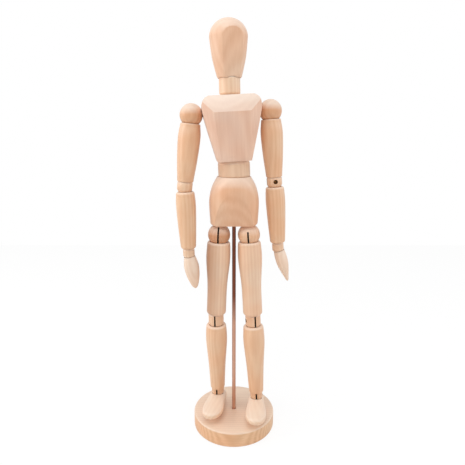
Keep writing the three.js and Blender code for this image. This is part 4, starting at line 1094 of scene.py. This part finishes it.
# Bright wire, that glints where a gap shows it
spring_steel = steel("bright_spring_steel", SPRING_GLOSS, SPRING_TONES)
for side in SIDES:
    for name, (top_joint, top_pin, ball, low_ball, low_pin) in LIMB_SPRINGS.items():
        low_joint = low_ball + "_turn"
        place = limb_place(side, top_joint, low_joint, top_pin)
        low_axis = place.to_3x3().inverted() @ joint_axis(f"{side}_{low_pin}")
        low_axis = Vector((low_axis.x, low_axis.y, 0)).normalized()
        length = (joint_place(f"{side}_{top_joint}") - joint_place(f"{side}_{low_joint}")).length
        linked = name == "forearm"
        low_eye_at = LINK_ASIDE - length if linked else -length
        coil_top, coil_end = -ball - BALL_LEAD, low_eye_at + HOOK_LEAD
        points = eye(ACROSS, 0, 0) + [UP * -ball] + coil(coil_top, coil_end)
        points += eye(low_axis, 0 if linked else HOOK_ASIDE, low_eye_at, -1)
        strung(wire(f"{side}_{name}_wire_spring", points), f"{side}_{name}_spring", place,
               (f"{side}_{name}", f"{side}_{low_ball}"), coil_top, coil_end)

    place = Matrix.Translation(hips[side] * MM)
    pin_axis = joint_axis(side + "_leg_swing")
    pin_axis = Vector((pin_axis.x, pin_axis.y, 0)).normalized()
    coil_top, coil_end = pin_above - HOOK_LEAD, HIP_BALL + HOOK_LEAD
    upper = eye(ACROSS, 0, pin_above) + coil(coil_top, coil_end)
    lower = [upper[-1], UP * HIP_BALL + pin_axis * HOOK_ASIDE] + eye(pin_axis, HOOK_ASIDE, 0, -1)
    strung(wire(side + "_hip_wire_spring", upper), side + "_hip_spring", place,
           ("pelvis", side + "_hip_spring"), coil_top, coil_end)
    strung(wire(side + "_hip_spring_hook", lower), side + "_hip_spring", place,
           (side + "_hip_spring", side + "_hip"), coil_end, EYE_RADIUS)

    arm_joint = joint_place(side + "_arm_swing")
    chest_middle = (joint_place("left_arm_swing") + joint_place("right_arm_swing")) / 2
    place = placed(chest_middle, arm_joint - chest_middle, chest_back)
    reach = (arm_joint - chest_middle).length
    coil_top, coil_end = reach - HOOK_LEAD, CROSS_WIRE_HALF + CROSS_WIRE_LEAD
    points = eye(ACROSS, HOOK_ASIDE, reach) + coil(coil_top, coil_end) + [UP * CROSS_WIRE_HALF, UP * 0]
    strung(wire(side + "_chest_wire_spring", points), "chest_spring", place,
           ("chest", side + "_shoulder"), coil_end, coil_top)

shoulder_height = shoulders["left"].z
waist_pivot = Matrix.Translation(joint_place("waist_turn") * MM)
pin_below = hips_middle.z + pin_above - joint_place("waist_turn").z
points = coil(0, pin_below + HOOK_LEAD) + eye(ACROSS, 0, pin_below, -1)
strung(wire("spine_wire_spring", points), "spine_spring", waist_pivot,
       ("pelvis", "spine_spring"), pin_below + HOOK_LEAD, 0)
link_at = shoulder_height - LINK_ASIDE
points = eye(ACROSS, -HOOK_ASIDE, link_at) + coil(link_at - HOOK_LEAD, 0)
strung(wire("spine_spring_top", points), "spine_spring", waist_place, ("waist", "chest"), *SPINE_BEND)
neck_pivot = placed(joint_place("neck_turn"), chest_up, chest_across)
link_below = shoulder_height + LINK_ASIDE - neck_above
neck_under = -NECK_BALL - 2 * BALL_LEAD
points = [UP * neck_under] + eye(ACROSS, HOOK_ASIDE, link_below, -1)
strung(wire("neck_spring_eye", points), "neck_spring", neck_pivot,
       ("chest", "neck_spring"), link_below + EYE_RADIUS, neck_under)
strung(wire("neck_spring_lead", [UP * 0, UP * neck_under / 2, UP * neck_under]), "neck_spring", neck_pivot,
       ("neck_spring", "neck"), *NECK_LEAN_BEND)
head_bore_top = head_under + HEAD_BORE_DEPTH - SPRING_HEADROOM
points = coil(head_bore_top, NECK_BALL + BALL_LEAD) + [UP * NECK_BALL, UP * 0]
strung(wire("neck_wire_spring", points), "neck_spring", neck_place, ("neck", "head"), *NECK_BEND)

# Pins and eye wires
# Cross pins cut from brown steel bar that the springs hang on, and wires with an eye, pushed into the hands
# and feet. The pins keep the brown skin of rolled bar, so that their holes look dark brown.
PIN_GLOSS = (0.5, 0.7)
PIN_TONES = ("94602F", "B67E46")

pin_steel = steel("brown_bar_steel", PIN_GLOSS, PIN_TONES)
for name, node in frame["nodes"].items():
    if name.endswith(("_pin", "_wire")):
        node.data.materials.clear()
        node.data.materials.append(pin_steel if name.endswith("_pin") else spring_steel)

# Studio
# A white floor and surround, soft light from above and both sides, and a close camera a little above the
# waist.
CAMERA_PLACE = (-1.2, -351, 255)
CAMERA_PITCH = 13.4
CAMERA_LENS = 35
CAMERA_NEAR = 0.01
FLOOR_SIZE = 1.2
FLOOR_TONE = "F4F4F4"
FLOOR_GLOW = 0.85
FLOOR_WHITE = 1.03
WORLD_LIGHT = 0.6
LAMPS = (
    ("overhead_softbox", (-0.1, -0.3, 0.95), 0.6, 2.4),
    ("left_softbox", (-0.75, -0.15, 0.45), 0.5, 2.4),
    ("right_softbox", (0.75, -0.15, 0.45), 0.5, 1.3),
)
LAMP_AIM = Vector((0, 0, 0.18))

floor = added("studio_floor", bpy.ops.mesh.primitive_plane_add, size=FLOOR_SIZE)
floor_paper, tree, paper = new_material("white_paper")
paper.inputs["Base Color"].default_value = linear(FLOOR_TONE)
paper.inputs["Roughness"].default_value = ROUGH
glow = add_node(tree, "ShaderNodeEmission", {"Strength": FLOOR_WHITE})
rays = add_node(tree, "ShaderNodeLightPath")
seen = remapped(tree, rays.outputs["Is Camera Ray"], after=(0.0, FLOOR_GLOW))
mixed = add_node(tree, "ShaderNodeMixShader", links={
    0: seen, 1: paper.outputs["BSDF"], 2: glow.outputs["Emission"]})
tree.links.new(mixed.outputs["Shader"], tree.nodes["Material Output"].inputs["Surface"])
floor.data.materials.append(floor_paper)

world = bpy.data.worlds.new("white_surround")
world.use_nodes = True
bpy.context.scene.world = world
tree = world.node_tree
rays = add_node(tree, "ShaderNodeLightPath")
shown = add_node(tree, "ShaderNodeMath", {"operation": "MAXIMUM"}, {
    0: rays.outputs["Is Camera Ray"], 1: rays.outputs["Is Glossy Ray"]})
strength = remapped(tree, shown.outputs["Value"], after=(WORLD_LIGHT, 1.0))
tree.nodes["Background"].inputs["Color"].default_value = (1, 1, 1, 1)
tree.links.new(strength, tree.nodes["Background"].inputs["Strength"])

for name, spot, size, power in LAMPS:
    bpy.ops.object.light_add(type="AREA", location=spot)
    lamp = bpy.context.object
    lamp.name = name
    lamp.data.size = size
    lamp.data.energy = power
    lamp.rotation_euler = (LAMP_AIM - Vector(spot)).to_track_quat("-Z", "Y").to_euler()

camera_tilt = (math.radians(90 - CAMERA_PITCH), 0, 0)
bpy.ops.object.camera_add(location=Vector(CAMERA_PLACE) * MM, rotation=camera_tilt)
camera = bpy.context.object
camera.data.lens = CAMERA_LENS
camera.data.clip_start = CAMERA_NEAR
bpy.context.scene.camera = camera
bpy.context.scene.view_settings.view_transform = "Standard"
